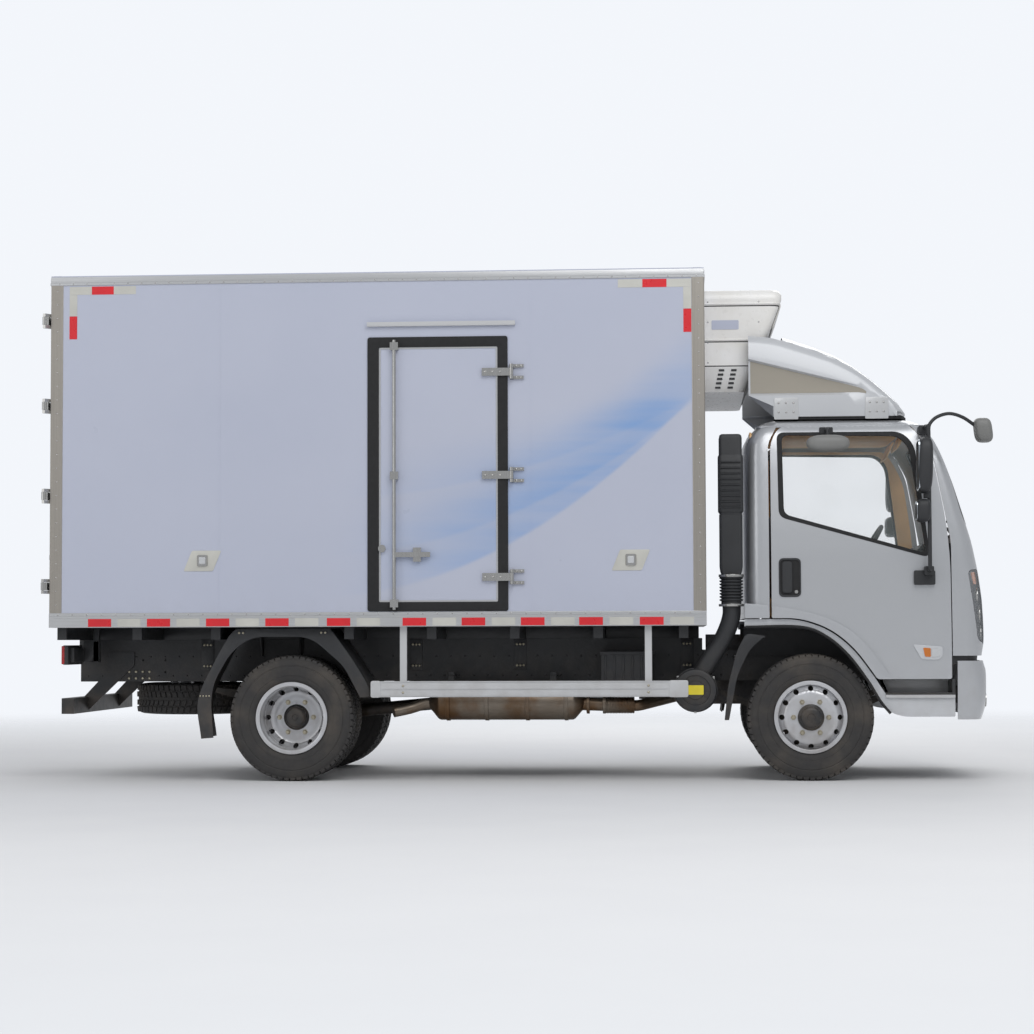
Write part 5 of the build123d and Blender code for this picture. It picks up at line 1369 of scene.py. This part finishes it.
LEAN = Vector((-0.19, 0, 1)).normalized()
FORWARD = Vector((1, 0, 0.19)).normalized()
for name, side in (("left", 1), ("right", -1)):
    base = pillow((52, side * 440, 1098), (1, 0, 0.05), (0, 1, 0), (0, 0, 1), (206, 256, 78, 56), 26,
                  (-0.5, 0, 0.5))
    rest = pillow((-214, side * 440, 1432), LEAN, (0, 1, 0), FORWARD, (262, 246, 62, 44), 22,
                  (-0.55, -0.1, 0.35))
    head = pillow((-298, side * 440, 1802), LEAN, (0, 1, 0), FORWARD, (80, 128, 42, 34), 12, ())
    for part, label in ((base, "cushion"), (rest, "backrest"), (head, "headrest")):
        pad = piece(f"seat_{label}_{name}", "cab", "seat_fabric", seat_cloth, *part, angle=math.radians(80))
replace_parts(pad, "seats")
frames = [both(block((-150, 250), (-690, -190), (1000, 1050)))]
frames += [both(tube([(-262, y, 1640), (-290, y, 1780)], 7, 10)) for y in (-390, -490)]
bevelled(piece("seat_frames", "cab", "cabin_dark", cabin_plastic, *join(*frames)), 6, 2, 60)
liner = skin(rounded([(-300, -800), (610, -800), (640, -640), (640, 640), (610, 800), (-300, 800)], 60), [],
             60,
             lambda x, y, depth: (x, y, 2256 + 6 * (1 - (y / 800) ** 2) - depth), 8)
piece("cabin_headliner", "cab", "cabin_dark", headliner, *liner)
visors = [skin(rounded([(y - 230, 0), (y + 230, 0), (y + 230, 150), (y - 230, 150)], 30), [], 40,
               lambda y, drop, depth: (648 - drop * 0.35 - depth, y, 2240 - drop * 0.75), 16)
          for y in (-420, 420)]
bevelled(piece("cabin_visors", "cab", "cabin_dark", headliner, *join(*visors)), 5, 2)
wall = skin(rounded([(-860, 1040), (860, 1040), (820, 2230), (-820, 2230)], 60), [], 70,
            lambda y, z, depth: (-368 + depth, y, z), 12)
piece("cabin_back_trim", "cab", "cabin_dark", headliner, *wall)
print("two seats, headliner, visors and back trim")

# %% [markdown]
# ## Roof fairing and refrigeration unit
#
# The fairing is lofted from sections across the truck. Each section starts at the middle of the crest,
# rolls over the shoulder, folds in below a crease and comes out again at the skirt. Towards the nose the
# fold fades away.

# %% Fairing
CREST = ((-372, 2898), (-221, 2882), (-90, 2841), (40, 2796), (171, 2742), (300, 2667), (430, 2577),
         (530, 2499),
         (623, 2423), (655, 2380), (667, 2340))
FOOT, SKIRT_TOP, NOSE_END = 2324, 2462, 667
SHOULDER = ((0, 6), (220, 6), (440, 4), (600, 0), (690, -10), (740, -26), (762, -36), (768, -40),
            (792, -58), (812, -80),
            (824, -106))


def fairing_point(j, t, inward):
    """Point j of the section at fraction t from tail to nose."""
    if j < len(SHOULDER):
        y = SHOULDER[j][0]
        start = -150 if y < 765 else -372
    else:
        y = 830
        start = -372 if j < len(SHOULDER) + 5 else -215
    x = start + t * (NOSE_END - start)
    crest = read(CREST, x)
    skirt = min(SKIRT_TOP, crest - 62 - 0.18 * max(0, crest - 2400))
    crease = max(min(float(np.interp(x, [-372, 600], [2700, 2455])), crest - 112), skirt + 14)
    fold = 26 * ease(crease - skirt, 16, 130)
    open_by = min(1, (crease - skirt) / 60)
    tail = [(830, crease), (830 - fold * 0.8, crease - 12 * open_by),
            (830 - fold, (crease + skirt) / 2 + 8 * open_by), (830 - fold * 0.9, skirt + 16 * open_by),
            (830, skirt), (830, (skirt + FOOT) / 2), (826, FOOT)]
    if j < len(SHOULDER):
        low = (crest - FOOT) / 500
        z = crest + SHOULDER[j][1] * min(1, low)
    else:
        y, z = tail[j - len(SHOULDER)]
    z = max(z, FOOT)
    nose = max(0.0, (x - 260) / (NOSE_END - 260))
    x -= 95 * nose ** 1.5 * (y / 830) ** 4
    top = j < len(SHOULDER) - 3
    return x, y - (0 if top else inward), max(z - (inward if top or j < len(SHOULDER) else 0), FOOT - 1)


rings = []
section = list(range(len(SHOULDER) + 7))
for t in np.concatenate((np.linspace(0, 0.8, 25), np.linspace(0.82, 1, 11))):
    half = [fairing_point(j, t, 0) for j in section]
    inner = [fairing_point(j, t, 24) for j in section]
    line = [(x, -y, z) for x, y, z in half[::-1]] + half[1:]
    back = [(x, -y, z) for x, y, z in inner[::-1]] + inner[1:]
    rings.append(line + back[::-1])
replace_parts(piece("fairing_shell", "cab", "fairing_silver", fairing_paint, *loft(rings)), "roof_fairing")
# A sheet of painted shade covers the recess below the crease: its darker, browner paint stands for the shade
# in the fold.
shade_rows = []
for t in np.linspace(0.012, 0.74, 26):
    outer = [fairing_point(len(SHOULDER) + k, t, -1.5) for k in (1, 2, 3)]
    inner = [fairing_point(len(SHOULDER) + k, t, 6) for k in (3, 2, 1)]
    shade_rows.append(outer + inner)
piece("fairing_side_panels", "cab", "fairing_silver", painted_recess_shade, *both(loft(shade_rows)))
feet, bolts = [], []
for low, high in ((-211, -56), (370, 518)):
    plate = rounded([(low, 2306), (high, 2306), (high, 2446), (low, 2446)], 8)
    feet.append(both(slab(plate, (-834, -826))))
    for k in range(2):
        bolts.append(both(row(rivet(7, 4), 3, (low + 30, -834, 2352 + 60 * k),
                              ((high - low - 60) / 2, 0, 0), stainless)))
bevelled(piece("fairing_feet", "cab", "fairing_silver", grey_enamel, *join(*feet)), 1.5, 2)
piece("fairing_foot_bolts", "cab", "stainless", stainless, *join(*bolts))
gasket = rounded([(-205, -818), (600, -818), (648, -640), (648, 640), (600, 818), (-205, 818)], 60)
gasket_part = skin(gasket, [], 60, lambda x, y, depth: (x, y, 2324 - depth), 18)
piece("fairing_gasket", "cab", "black_plastic", seal_rubber, *gasket_part)
print("fairing in", len(rings), "sections")

# %% Refrigeration unit
UNIT_FRONT = ((2505, -395), (2923, -218), (3103, -150), (3135, -148), (3165, -172))
UNIT_HALF = ((2505, 655), (2560, 682), (2662, 720), (3118, 720), (3148, 706), (3165, 680))


def unit_ring(z, out=0.0, rear=-658):
    """A level cut through the unit's casing, its front corners well rounded."""
    front = float(np.interp(z, *zip(*UNIT_FRONT))) + out
    half = float(np.interp(z, *zip(*UNIT_HALF))) + out
    plan = rounded([(rear, -half), (front, -half), (front, half), (rear, half)], [6, 70, 70, 6], 8)
    return [(x, y, z) for x, y in plan]


heights = [2505, 2508, 2530, 2560, 2610, 2655, 2662, 2670, 2750, 2850, 2923, 3000, 3100, 3118, 3132, 3142,
           3150, 3158, 3163,
           3165]
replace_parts(piece("unit_casing", "chassis", "unit_ivory", ivory, *loft([unit_ring(z) for z in heights])),
            "reefer_unit")
seams = [loft([unit_ring(z, 0.8), unit_ring(z + 7, 0.8)]) for z in (2664, 2822, 3056)]
piece("unit_seams", "chassis", "black_plastic", seal_rubber, *join(*seams))
bands = [loft([unit_ring(low, 3), unit_ring(low + 3, 5), unit_ring(high - 3, 5), unit_ring(high, 3)])
         for low, high in ((3068, 3080), (2834, 2844))]
piece("unit_ribs", "chassis", "unit_ivory", ivory, *join(*bands))


def on_front(y, z, out):
    """A point on the unit's sloping face."""
    return float(np.interp(z, *zip(*UNIT_FRONT))) + out, y, z


grille_line = rounded([(-560, 2930), (560, 2930), (560, 3082), (-560, 3082)], 24)
grille_back = skin(grille_line, [], 60, lambda y, z, depth: on_front(y, z, 3 - depth), 6)
piece("unit_grille_back", "chassis", "black_plastic", black_plastic, *grille_back)
frame_part = skin(grille_line, [shrunk(grille_line, 16)], 40,
                  lambda y, z, depth: on_front(y, z, 10 - depth), 14)
fins = [skin([(-552, z), (552, z), (552, z + 9), (-552, z + 9)], [], 60,
             lambda y, z, depth: on_front(y, z, 9 - depth), 10) for z in range(2946, 3076, 16)]
piece("unit_grille", "chassis", "unit_ivory", ivory, *join(frame_part, *fins))
slots = []
for left in (-585, -505):
    for k in range(5):
        low = 2526 + 27 * k
        half = float(np.interp(low + 8, *zip(*UNIT_HALF)))
        slots.append(both(block((left + 6 * k, left + 6 * k + 36), (-half - 2.5, -half + 8),
                                (low, low + 16))))
bevelled(piece("unit_side_slots", "chassis", "black_plastic", black_plastic, *join(*slots)), 2, 2)
label = both(slab(rounded([(-605, 2906), (-430, 2906), (-430, 2966), (-605, 2966)], 8), (-722.5, -719)))
piece("unit_plate_blank", "chassis", "box_panel", panel_plain, *label)
corner_bolts = []
for x in (-630, -300):
    corner_bolts.append(both(row(rivet(6, 3), 4, (x, -720, 2690), (0, 0, 132), stainless)))
piece("unit_bolts", "chassis", "stainless", stainless, *join(*corner_bolts))
print("refrigeration unit with", len(fins), "fins")

# %% [markdown]
# ## Under the box
#
# The guards over the rear wheels are bent sheets with a broad face on the outside. The intake, the exhaust
# and the lamps below keep the drawing's places and get their ribs, bands, clips and lenses.

# %% Mudguards
def band(line, thick):
    """A closed outline that follows a line, with a thickness to its right."""
    far = []
    for i, point in enumerate(line):
        run = Vector(line[min(i + 1, len(line) - 1)]) - Vector(line[max(i - 1, 0)])
        run.normalize()
        far.append(tuple(Vector(point) + Vector((run.y, -run.x)) * thick))
    return list(line) + far[::-1]


ARCH_OUT = [(-3884, 273), (-3905, 518), (-3800, 760), (-3704, 930), (-3660, 974), (-3056, 974),
            (-3020, 930), (-2900, 760),
            (-2806, 600), (-2806, 536)]
ARCH_IN = [(-2860, 536), (-2965, 735), (-3180, 922), (-3560, 922), (-3690, 830), (-3800, 640), (-3822, 520),
           (-3806, 278)]
legs = [[(p[0], p[1]) for p in curve_through([(x, z, 0) for x, z in leg], 6)]
        for leg in (ARCH_OUT[:4], ARCH_OUT[6:])]
sheet_line = legs[0] + ARCH_OUT[4:6] + legs[1]
arch = join(slab(band(sheet_line, 7), (-1046, -572)),
            slab(sheet_line + rounded(ARCH_IN, [4, 60, 90, 90, 90, 90, 60, 4]), (-1050, -1041)))
FLAP_FACE = [(-286, 918), (-405, 934), (-463, 828), (-521, 607), (-545, 386), (-516, 386), (-464, 668),
             (-383, 836)]
flap_line = [(p[0], p[1]) for p in curve_through([(x, z, 0)
                                                  for x, z in ((-538, 386), (-515, 607), (-450, 829),
                                                                         (-380, 905), (-285, 914))], 6)]
flap = join(slab(band(flap_line, 7), (-984, -737)),
            slab(rounded(FLAP_FACE, [6, 30, 80, 60, 4, 4, 60, 60]), (-985, -977)))
guards = bevelled(piece("mudguard_sheets", "chassis", "black_plastic", black_plastic,
                        *both(join(arch, flap))), 1.5, 2, 60)
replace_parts(guards, "mudguards")
stays = [tube(curve_through([(x, -420, 800), (x, -470, 930), (x, -560, 964), (x, -1036, 964)], 6), 12, 12)
         for x in (-3338, -3600)]
stays += [tube([(-468, -420, 780), (-468, -979, 780)], 12, 12)]
piece("mudguard_stays", "chassis", "chassis_black", chassis_black, *both(join(*stays)))
screws = [row(rivet(8, 5), 2, (-3640, -1050, 948), (26, 0, 0), zinc),
          row(rivet(8, 5), 2, (-3110, -1050, 948), (26, 0, 0), zinc),
          row(rivet(6, 4), 4, (-3890, -1050, 545), (19, 0, 0), zinc)]
piece("mudguard_screws", "chassis", "stainless", zinc, *both(join(*screws)))
print("mudguards")

# %% Frame details
webs = [block((-4700, -700), (-419, -413), (906, 985))]
webs += [block((-4700, -700), (-440, -400), (978, 985))]
for x in (-4010, -2612, -1920, -820):
    webs.append(loft([[(x + dx, y, z) for y, z in ((-426, 700), (-426, 905), (-421, 905), (-421, 700))]
                      for dx in (0, 84)]))
bevelled(piece("subframe_webs", "chassis", "chassis_black", chassis_black, *both(join(*webs))), 1.5, 2)
frame_bolts = [row(rivet(9, 6), 3, (x + 20, -426, z), (22, 0, 0), zinc) for x in (-4010, -2612, -1920, -820)
               for z in (730, 870)]
frame_rivets = [row(rivet(7, 4), 58, (-4780, -420, 664), (96, 0, 0), chassis_black),
                row(rivet(7, 4), 58, (-4740, -420, 792), (96, 0, 0), chassis_black)]
piece("frame_rivets", "chassis", "chassis_black", chassis_black, *both(join(*frame_rivets)))
frame_bolts += [row(rivet(10, 6), 4, (-4500, -420, 650 + 44 * k), (46, 0, 0), zinc) for k in (0, 1)]
piece("frame_bolts", "chassis", "stainless", zinc, *both(join(*frame_bolts)))
print("frame rivets and bolts in", len(frame_rivets) + len(frame_bolts), "rows a side")

# %% Air intake
def stacked(x, y, heights, radius):
    """A box with rounded corners, given as (height, inset) rows."""
    rings = []
    for z, inset in heights:
        plan = rounded([(x[0] + inset, y[0] + inset), (x[1] - inset, y[0] + inset),
                        (x[1] - inset, y[1] - inset),
                        (x[0] + inset, y[1] - inset)], radius)
        rings.append([(a, b, z) for a, b in plan])
    return loft(rings)


SNORKEL = ((-568, -422), (-980, -830))
column = stacked(*SNORKEL, [(1290, 22), (1300, 14), (1330, 4), (1360, 0), (1690, 0), (1693, 3), (1700, 3),
                            (1703, 0), (2180, 0),
                            (2196, 4), (2204, 14)], 22)
hood = stacked((-575, -415), (-987, -823), [(1700, 8), (1712, 0), (2062, 0), (2074, 8)], 26)
bellows = [(1300, 60), (1300, 66)]
for k in range(8):
    bellows += [(1292 - 20 * k, 75), (1284 - 20 * k, 75), (1278 - 20 * k, 64), (1274 - 20 * k, 64)]
bellows += [(1110, 66), (1110, 40), (1300, 40)]
pipe = tube(curve_through([(-495, -905, 1140), (-497, -905, 1040), (-540, -905, 920), (-620, -900, 790),
                           (-700, -872, 660),
                           (-727, -862, 600)], 8), 58, 28)
CAN = [(560, 0), (560, 110), (566, 128), (580, 136), (860, 136), (862, 142), (876, 142), (878, 136),
       (934, 136), (946, 130),
       (950, 118), (950, 96), (944, 92), (944, 60), (950, 56), (950, 20), (946, 16), (946, 0)]
canister = turned(CAN, (-727, 0, 574), 64, side=-1)
ribs = [loft([[(-727 + r * math.cos(a + da), -y, 574 + r * math.sin(a + da))
               for r, da in ((94, -0.03), (94, 0.03), (58, 0.05), (58, -0.05))]
              for y in (940, 949)]) for a in np.linspace(0, 2 * math.pi, 12, endpoint=False)]
intake = piece("intake_column", "chassis", "black_plastic", black_plastic,
               *join(column, turned(bellows, (-495, -905, 0), 40, axis="z"), pipe, canister, *ribs))
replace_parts(intake, "air_intake")
blade = loft([[(x, y, z) for y, z in ((-988, 0), (-996, -4), (-996, -9), (-986, -13))] for x in (-558, -432)])
slat_rows = row(blade, 9, (0, 0, 1742), (0, 0, 36), black_plastic)
piece("intake_hood", "chassis", "black_plastic", black_plastic, *join(hood, slat_rows))
clips = [block((-727 + 139 * math.cos(a) - 8, -727 + 139 * math.cos(a) + 8), (-895, -845),
               (574 + 139 * math.sin(a) - 8, 574 + 139 * math.sin(a) + 8)) for a in (0.6, 2.5, 4.7)]
bands = [turned([(y, 137), (y, 140), (y + 22, 140), (y + 22, 137)], (-727, 0, 574), 64, side=-1)
         for y in (620, 800)]
bands += [turned([(z, 66), (z, 80), (z + 16, 80), (z + 16, 66)], (-495, -905, 0), 40, axis="z")
          for z in (1294, 1106)]
bevelled(piece("intake_clips", "chassis", "stainless", stainless, *join(*clips, *bands)), 1.5, 2)
label = slab(rounded([(-784, 546), (-676, 546), (-676, 606), (-784, 606)], 6), (-952.5, -949))
piece("intake_label_blank", "chassis", "box_panel", label_yellow, *label)
print("air intake")

# %% Exhaust
MUFFLER_AT = (0, -600, 489)
SHELL = [(-2462, 36), (-2440, 58), (-2402, 104), (-2386, 112), (-1522, 112), (-1506, 104), (-1466, 58),
         (-1444, 36),
         (-1450, 30), (-1500, 90), (-2410, 90), (-2456, 30)]
silencer = turned(SHELL, MUFFLER_AT, 56, axis="x")
hoops = [turned([(x, 110), (x + 2, 117), (x + 26, 117), (x + 28, 110)], MUFFLER_AT, 56, axis="x")
         for x in (-2350, -2096, -1830, -1578)]
collars = [turned([(x, 40), (x + 3, 62), (x + 22, 62), (x + 25, 40)], (0, -600, 478), 40, axis="x")
           for x in (-1436, -1330)]
braid = [(-1326, 30), (-1326, 50)]
for k in range(20):
    braid += [(-1322 + 10 * k, 55), (-1317 + 10 * k, 55), (-1315 + 10 * k, 51), (-1313 + 10 * k, 51)]
braid += [(-1122, 50), (-1122, 30)]
flexible = turned(braid, (0, -600, 472), 40, axis="x")
pipes = [tube(curve_through([(-2450, -600, 486), (-2500, -602, 480), (-2590, -620, 452),
                             (-2692, -660, 430)], 6), 36, 24),
         tube([(-1456, -600, 480), (-1300, -600, 474)], 42, 24),
         tube(curve_through([(-1140, -600, 470), (-1090, -592, 470), (-980, -480, 494), (-860, -330, 520)],
                            6), 36, 24)]
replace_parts(piece("exhaust_shell", "chassis", "exhaust_steel", exhaust_steel, *join(silencer, *pipes)),
            "exhaust_system")
piece("exhaust_bands", "chassis", "exhaust_steel", exhaust_steel, *join(*hoops, *collars, flexible))
hangers = []
for x in (-2318, -1650):
    hangers.append(block((x - 20, x + 20), (-620, -614), (580, 690)))
    hangers.append(block((x - 20, x + 20), (-620, -420), (664, 670)))
    hangers.append(block((x - 26, x + 26), (-628, -606), (596, 612)))
bevelled(piece("exhaust_hangers", "chassis", "chassis_black", chassis_black, *join(*hangers)), 1.5, 2)
print("exhaust with", len(hoops), "bands")

# %% Side guards, tail lamps and underrun bar
GUARD_END = (-2783, -776)
caps = [slab(rounded([(GUARD_END[1] - 118, 534), (GUARD_END[1] + 3, 534), (GUARD_END[1] + 3, 641),
                      (GUARD_END[1] - 118, 641)], 16),
             (-1103, -1069)),
        slab(rounded([(GUARD_END[0] - 3, 534), (GUARD_END[0] + 60, 534), (GUARD_END[0] + 60, 641),
                      (GUARD_END[0] - 3, 641)], 16),
             (-1103, -1069))]
bevelled(piece("guard_end_caps", "chassis", "guard_grey", grey_enamel, *both(join(*caps))), 3, 2)
ridges = [block((GUARD_END[0] + 60, GUARD_END[1] - 118), (-1102, -1099), (z, z + 5)) for z in (541, 584, 629)]
piece("guard_ridges", "chassis", "guard_grey", alloy, *both(join(*ridges)))
guard_bolts = [row(rivet(8, 5), 2, (x, -1100, 566), (0, 0, 42), zinc) for x in (-2579, -1023)]
piece("guard_bolts", "chassis", "stainless", zinc, *both(join(*guard_bolts)))

LAMP_REAR = -4814
shells, reds, ambers, clears = [], [], [], []
shells.append(block((LAMP_REAR + 10, LAMP_REAR + 44), (-978, -602), (746, 872)))
shells.append(block((LAMP_REAR + 44, LAMP_REAR + 74), (-940, -640), (762, 856)))
shells.append(block((LAMP_REAR + 70, LAMP_REAR + 174), (-690, -650), (762, 900)))
shells.append(block((LAMP_REAR + 134, LAMP_REAR + 174), (-690, -650), (762, 984)))
for low, high, group in ((-974, -860, reds), (-856, -740, ambers), (-736, -606, clears)):
    line = rounded([(low, 752), (high, 752), (high, 866), (low, 866)], 8)
    group.append(loft([[(x, y, z) for y, z in line] for x in (LAMP_REAR, LAMP_REAR + 14)]))
lamp_side = slab(rounded([(LAMP_REAR, 750), (LAMP_REAR + 20, 750), (LAMP_REAR + 20, 868), (LAMP_REAR, 868)],
                         5), (-980, -972))
housing = bevelled(piece("tail_lamp_housings", "chassis", "black_plastic", black_plastic,
                         *both(join(*shells))), 4, 2)
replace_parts(housing, "tail_lamps")
bevelled(piece("tail_lamp_red", "chassis", "lamp_red", lens_red, *both(join(*reds, lamp_side))), 3, 2)
bevelled(piece("tail_lamp_amber", "chassis", "lamp_red", lens_amber, *both(join(*ambers))), 3, 2)
bevelled(piece("tail_lamp_clear", "chassis", "lamp_clear", lens_clear, *both(join(*clears))), 3, 2)
stripes = [block((-4851.5, -4849), (y, y + 140), (448, 504)) for y in np.arange(-800, 700, 320)]
piece("underrun_stripes_red", "chassis", "lamp_red", tape_red, *join(*stripes))
stripes = [block((-4851.5, -4849), (y + 160, y + 300), (448, 504)) for y in np.arange(-800, 600, 320)]
piece("underrun_stripes_white", "chassis", "lamp_clear", tape_white, *join(*stripes))
plate_line = rounded([(-230, 760), (230, 760), (230, 872), (-230, 872)], 10)
rear_plate = loft([[(x, y, z) for y, z in plate_line] for x in (-4792, -4786)])
holder = join(block((-4786, -4700), (-180, -150), (770, 800)), block((-4786, -4700), (150, 180), (770, 800)),
              block((-4786, -4778), (-215, 215), (775, 860)))
piece("rear_plate_blank", "chassis", "box_panel", panel_plain, *rear_plate)
bevelled(piece("rear_plate_holder", "chassis", "chassis_black", chassis_black, *holder), 2, 2)
print("guards and tail lamps")

# %% Tank and battery box
straps = []
TANK_X = (-2300, -1300)
for x in (TANK_X[0] + 180, TANK_X[1] - 220):
    inner = rounded([(420, 420), (900, 420), (900, 800), (420, 800)], 60, 8)
    outer = rounded([(417, 416), (904, 416), (904, 804), (417, 804)], 62, 8)
    rings = [[(x + dx, y, z) for y, z in line]
             for line, dx in ((inner, 0), (outer, 0), (outer, 46), (inner, 46), (inner, 0))]
    straps.append(loft(rings, caps=False))
piece("tank_straps", "chassis", "stainless", stainless, *join(*straps))
cap = turned([(820, 0), (820, 48), (824, 54), (842, 54), (848, 48), (850, 20), (858, 16), (858, 0)],
             (TANK_X[1] - 180, 760, 0),
             32, axis="z")
piece("tank_cap", "chassis", "black_plastic", black_plastic, *cap)
lid = block((-1336, -994), (-826, -424), (800, 822))
lid_ribs = [block((x, x + 14), (-824, -818), (640, 796)) for x in (-1310, -1252, -1194, -1136, -1078, -1026)]
bevelled(piece("battery_lid", "chassis", "black_plastic", black_plastic, *join(lid, *lid_ribs)), 4, 2)
print("tank straps and battery lid")

# %% [markdown]
# ## The studio
#
# The camera stands where the photographer stood. Its place and its three turns come from fitting the
# truck's known points to the photograph, and its angle comes from the focal length in pixels. Two big soft
# lamps and a pale sky light a plain floor.

# %% Camera, lamps and floor
PHOTO = 1034
FOCAL_PX = 2373.0
CAMERA_AT = (-810.0, -16105.0, 906.0)
CAMERA_TURNS = (-2.94, 3.96, -0.396)
SKY_LIGHT, SEEN_SKY = 0.55, 1.05

pitch, yaw, roll = (math.radians(a) for a in CAMERA_TURNS)
turn = Matrix.Rotation(roll, 3, "Z") @ Matrix.Rotation(yaw, 3, "Y") @ Matrix.Rotation(pitch, 3, "X")
rows = turn @ Matrix(((1, 0, 0), (0, 0, -1), (0, 1, 0)))
pose = Matrix((rows[0], -rows[1], -rows[2])).transposed().to_4x4()
pose.translation = at(*CAMERA_AT)
camera = bpy.data.objects.new("camera", bpy.data.cameras.new("camera"))
camera.data.angle = 2 * math.atan(PHOTO / 2 / FOCAL_PX)
camera.matrix_world = pose
bpy.context.scene.collection.objects.link(camera)
bpy.context.scene.camera = camera

LAMPS = (
    ("key", (3.5, -9.0, 9.5), (0.0, 0.0, 1.2), 8.0, 520.0),
    ("fill", (-8.0, -7.0, 5.0), (-1.0, 0.0, 1.4), 7.0, 140.0),
    ("back", (1.0, 9.0, 8.0), (0.0, 0.0, 1.6), 8.0, 420.0),
)
for name, where, target, size, power in LAMPS:
    lamp = bpy.data.objects.new(name, bpy.data.lights.new(name, "AREA"))
    lamp.data.size = size
    lamp.data.energy = power
    lamp.location = where
    lamp.rotation_euler = (Vector(target) - Vector(where)).to_track_quat("-Z", "Y").to_euler()
    bpy.context.scene.collection.objects.link(lamp)

sky = bpy.data.worlds.new("sky")
sky.use_nodes = True
backdrop = sky.node_tree.nodes["Background"]
backdrop.inputs[0].default_value = rgb(238, 241, 246)
seen = sky.node_tree.nodes.new("ShaderNodeLightPath").outputs["Is Camera Ray"]
strength = Wire(sky.node_tree, seen) * (SEEN_SKY - SKY_LIGHT) + SKY_LIGHT
sky.node_tree.links.new(strength.socket, backdrop.inputs[1])
bpy.context.scene.world = sky
bpy.context.scene.view_settings.view_transform = "Standard"

FLOOR_HALF = 16.0
floor_mesh = bpy.data.meshes.new("floor")
corners = [(-FLOOR_HALF, -FLOOR_HALF, 0), (FLOOR_HALF, -FLOOR_HALF, 0), (FLOOR_HALF, FLOOR_HALF, 0),
           (-FLOOR_HALF, FLOOR_HALF, 0)]
floor_mesh.from_pydata(corners, [], [(0, 1, 2, 3)])
floor_look = Surface("studio_floor")
floor_tone = floor_look.mix(floor_look.noise(1.5), rgb(240, 240, 240), rgb(234, 234, 235))
away = (floor_look.x * floor_look.x + floor_look.y * floor_look.y) ** 0.5
fade = floor_look.ramp(away, 4.5, FLOOR_HALF - 0.5, 1.0, 0.0)
floor_mesh.materials.append(floor_look.done(Base_Color=floor_tone, Roughness=0.8, Alpha=fade))
floor = bpy.data.objects.new("floor", floor_mesh)
bpy.context.scene.collection.objects.link(floor)
print("camera, lamps and floor in place")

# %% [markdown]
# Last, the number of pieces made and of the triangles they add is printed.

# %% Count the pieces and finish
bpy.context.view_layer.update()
triangles = sum(len(p.vertices) - 2 for thing in made for p in thing.data.polygons)
print("pieces", len(made), "triangles added", triangles)
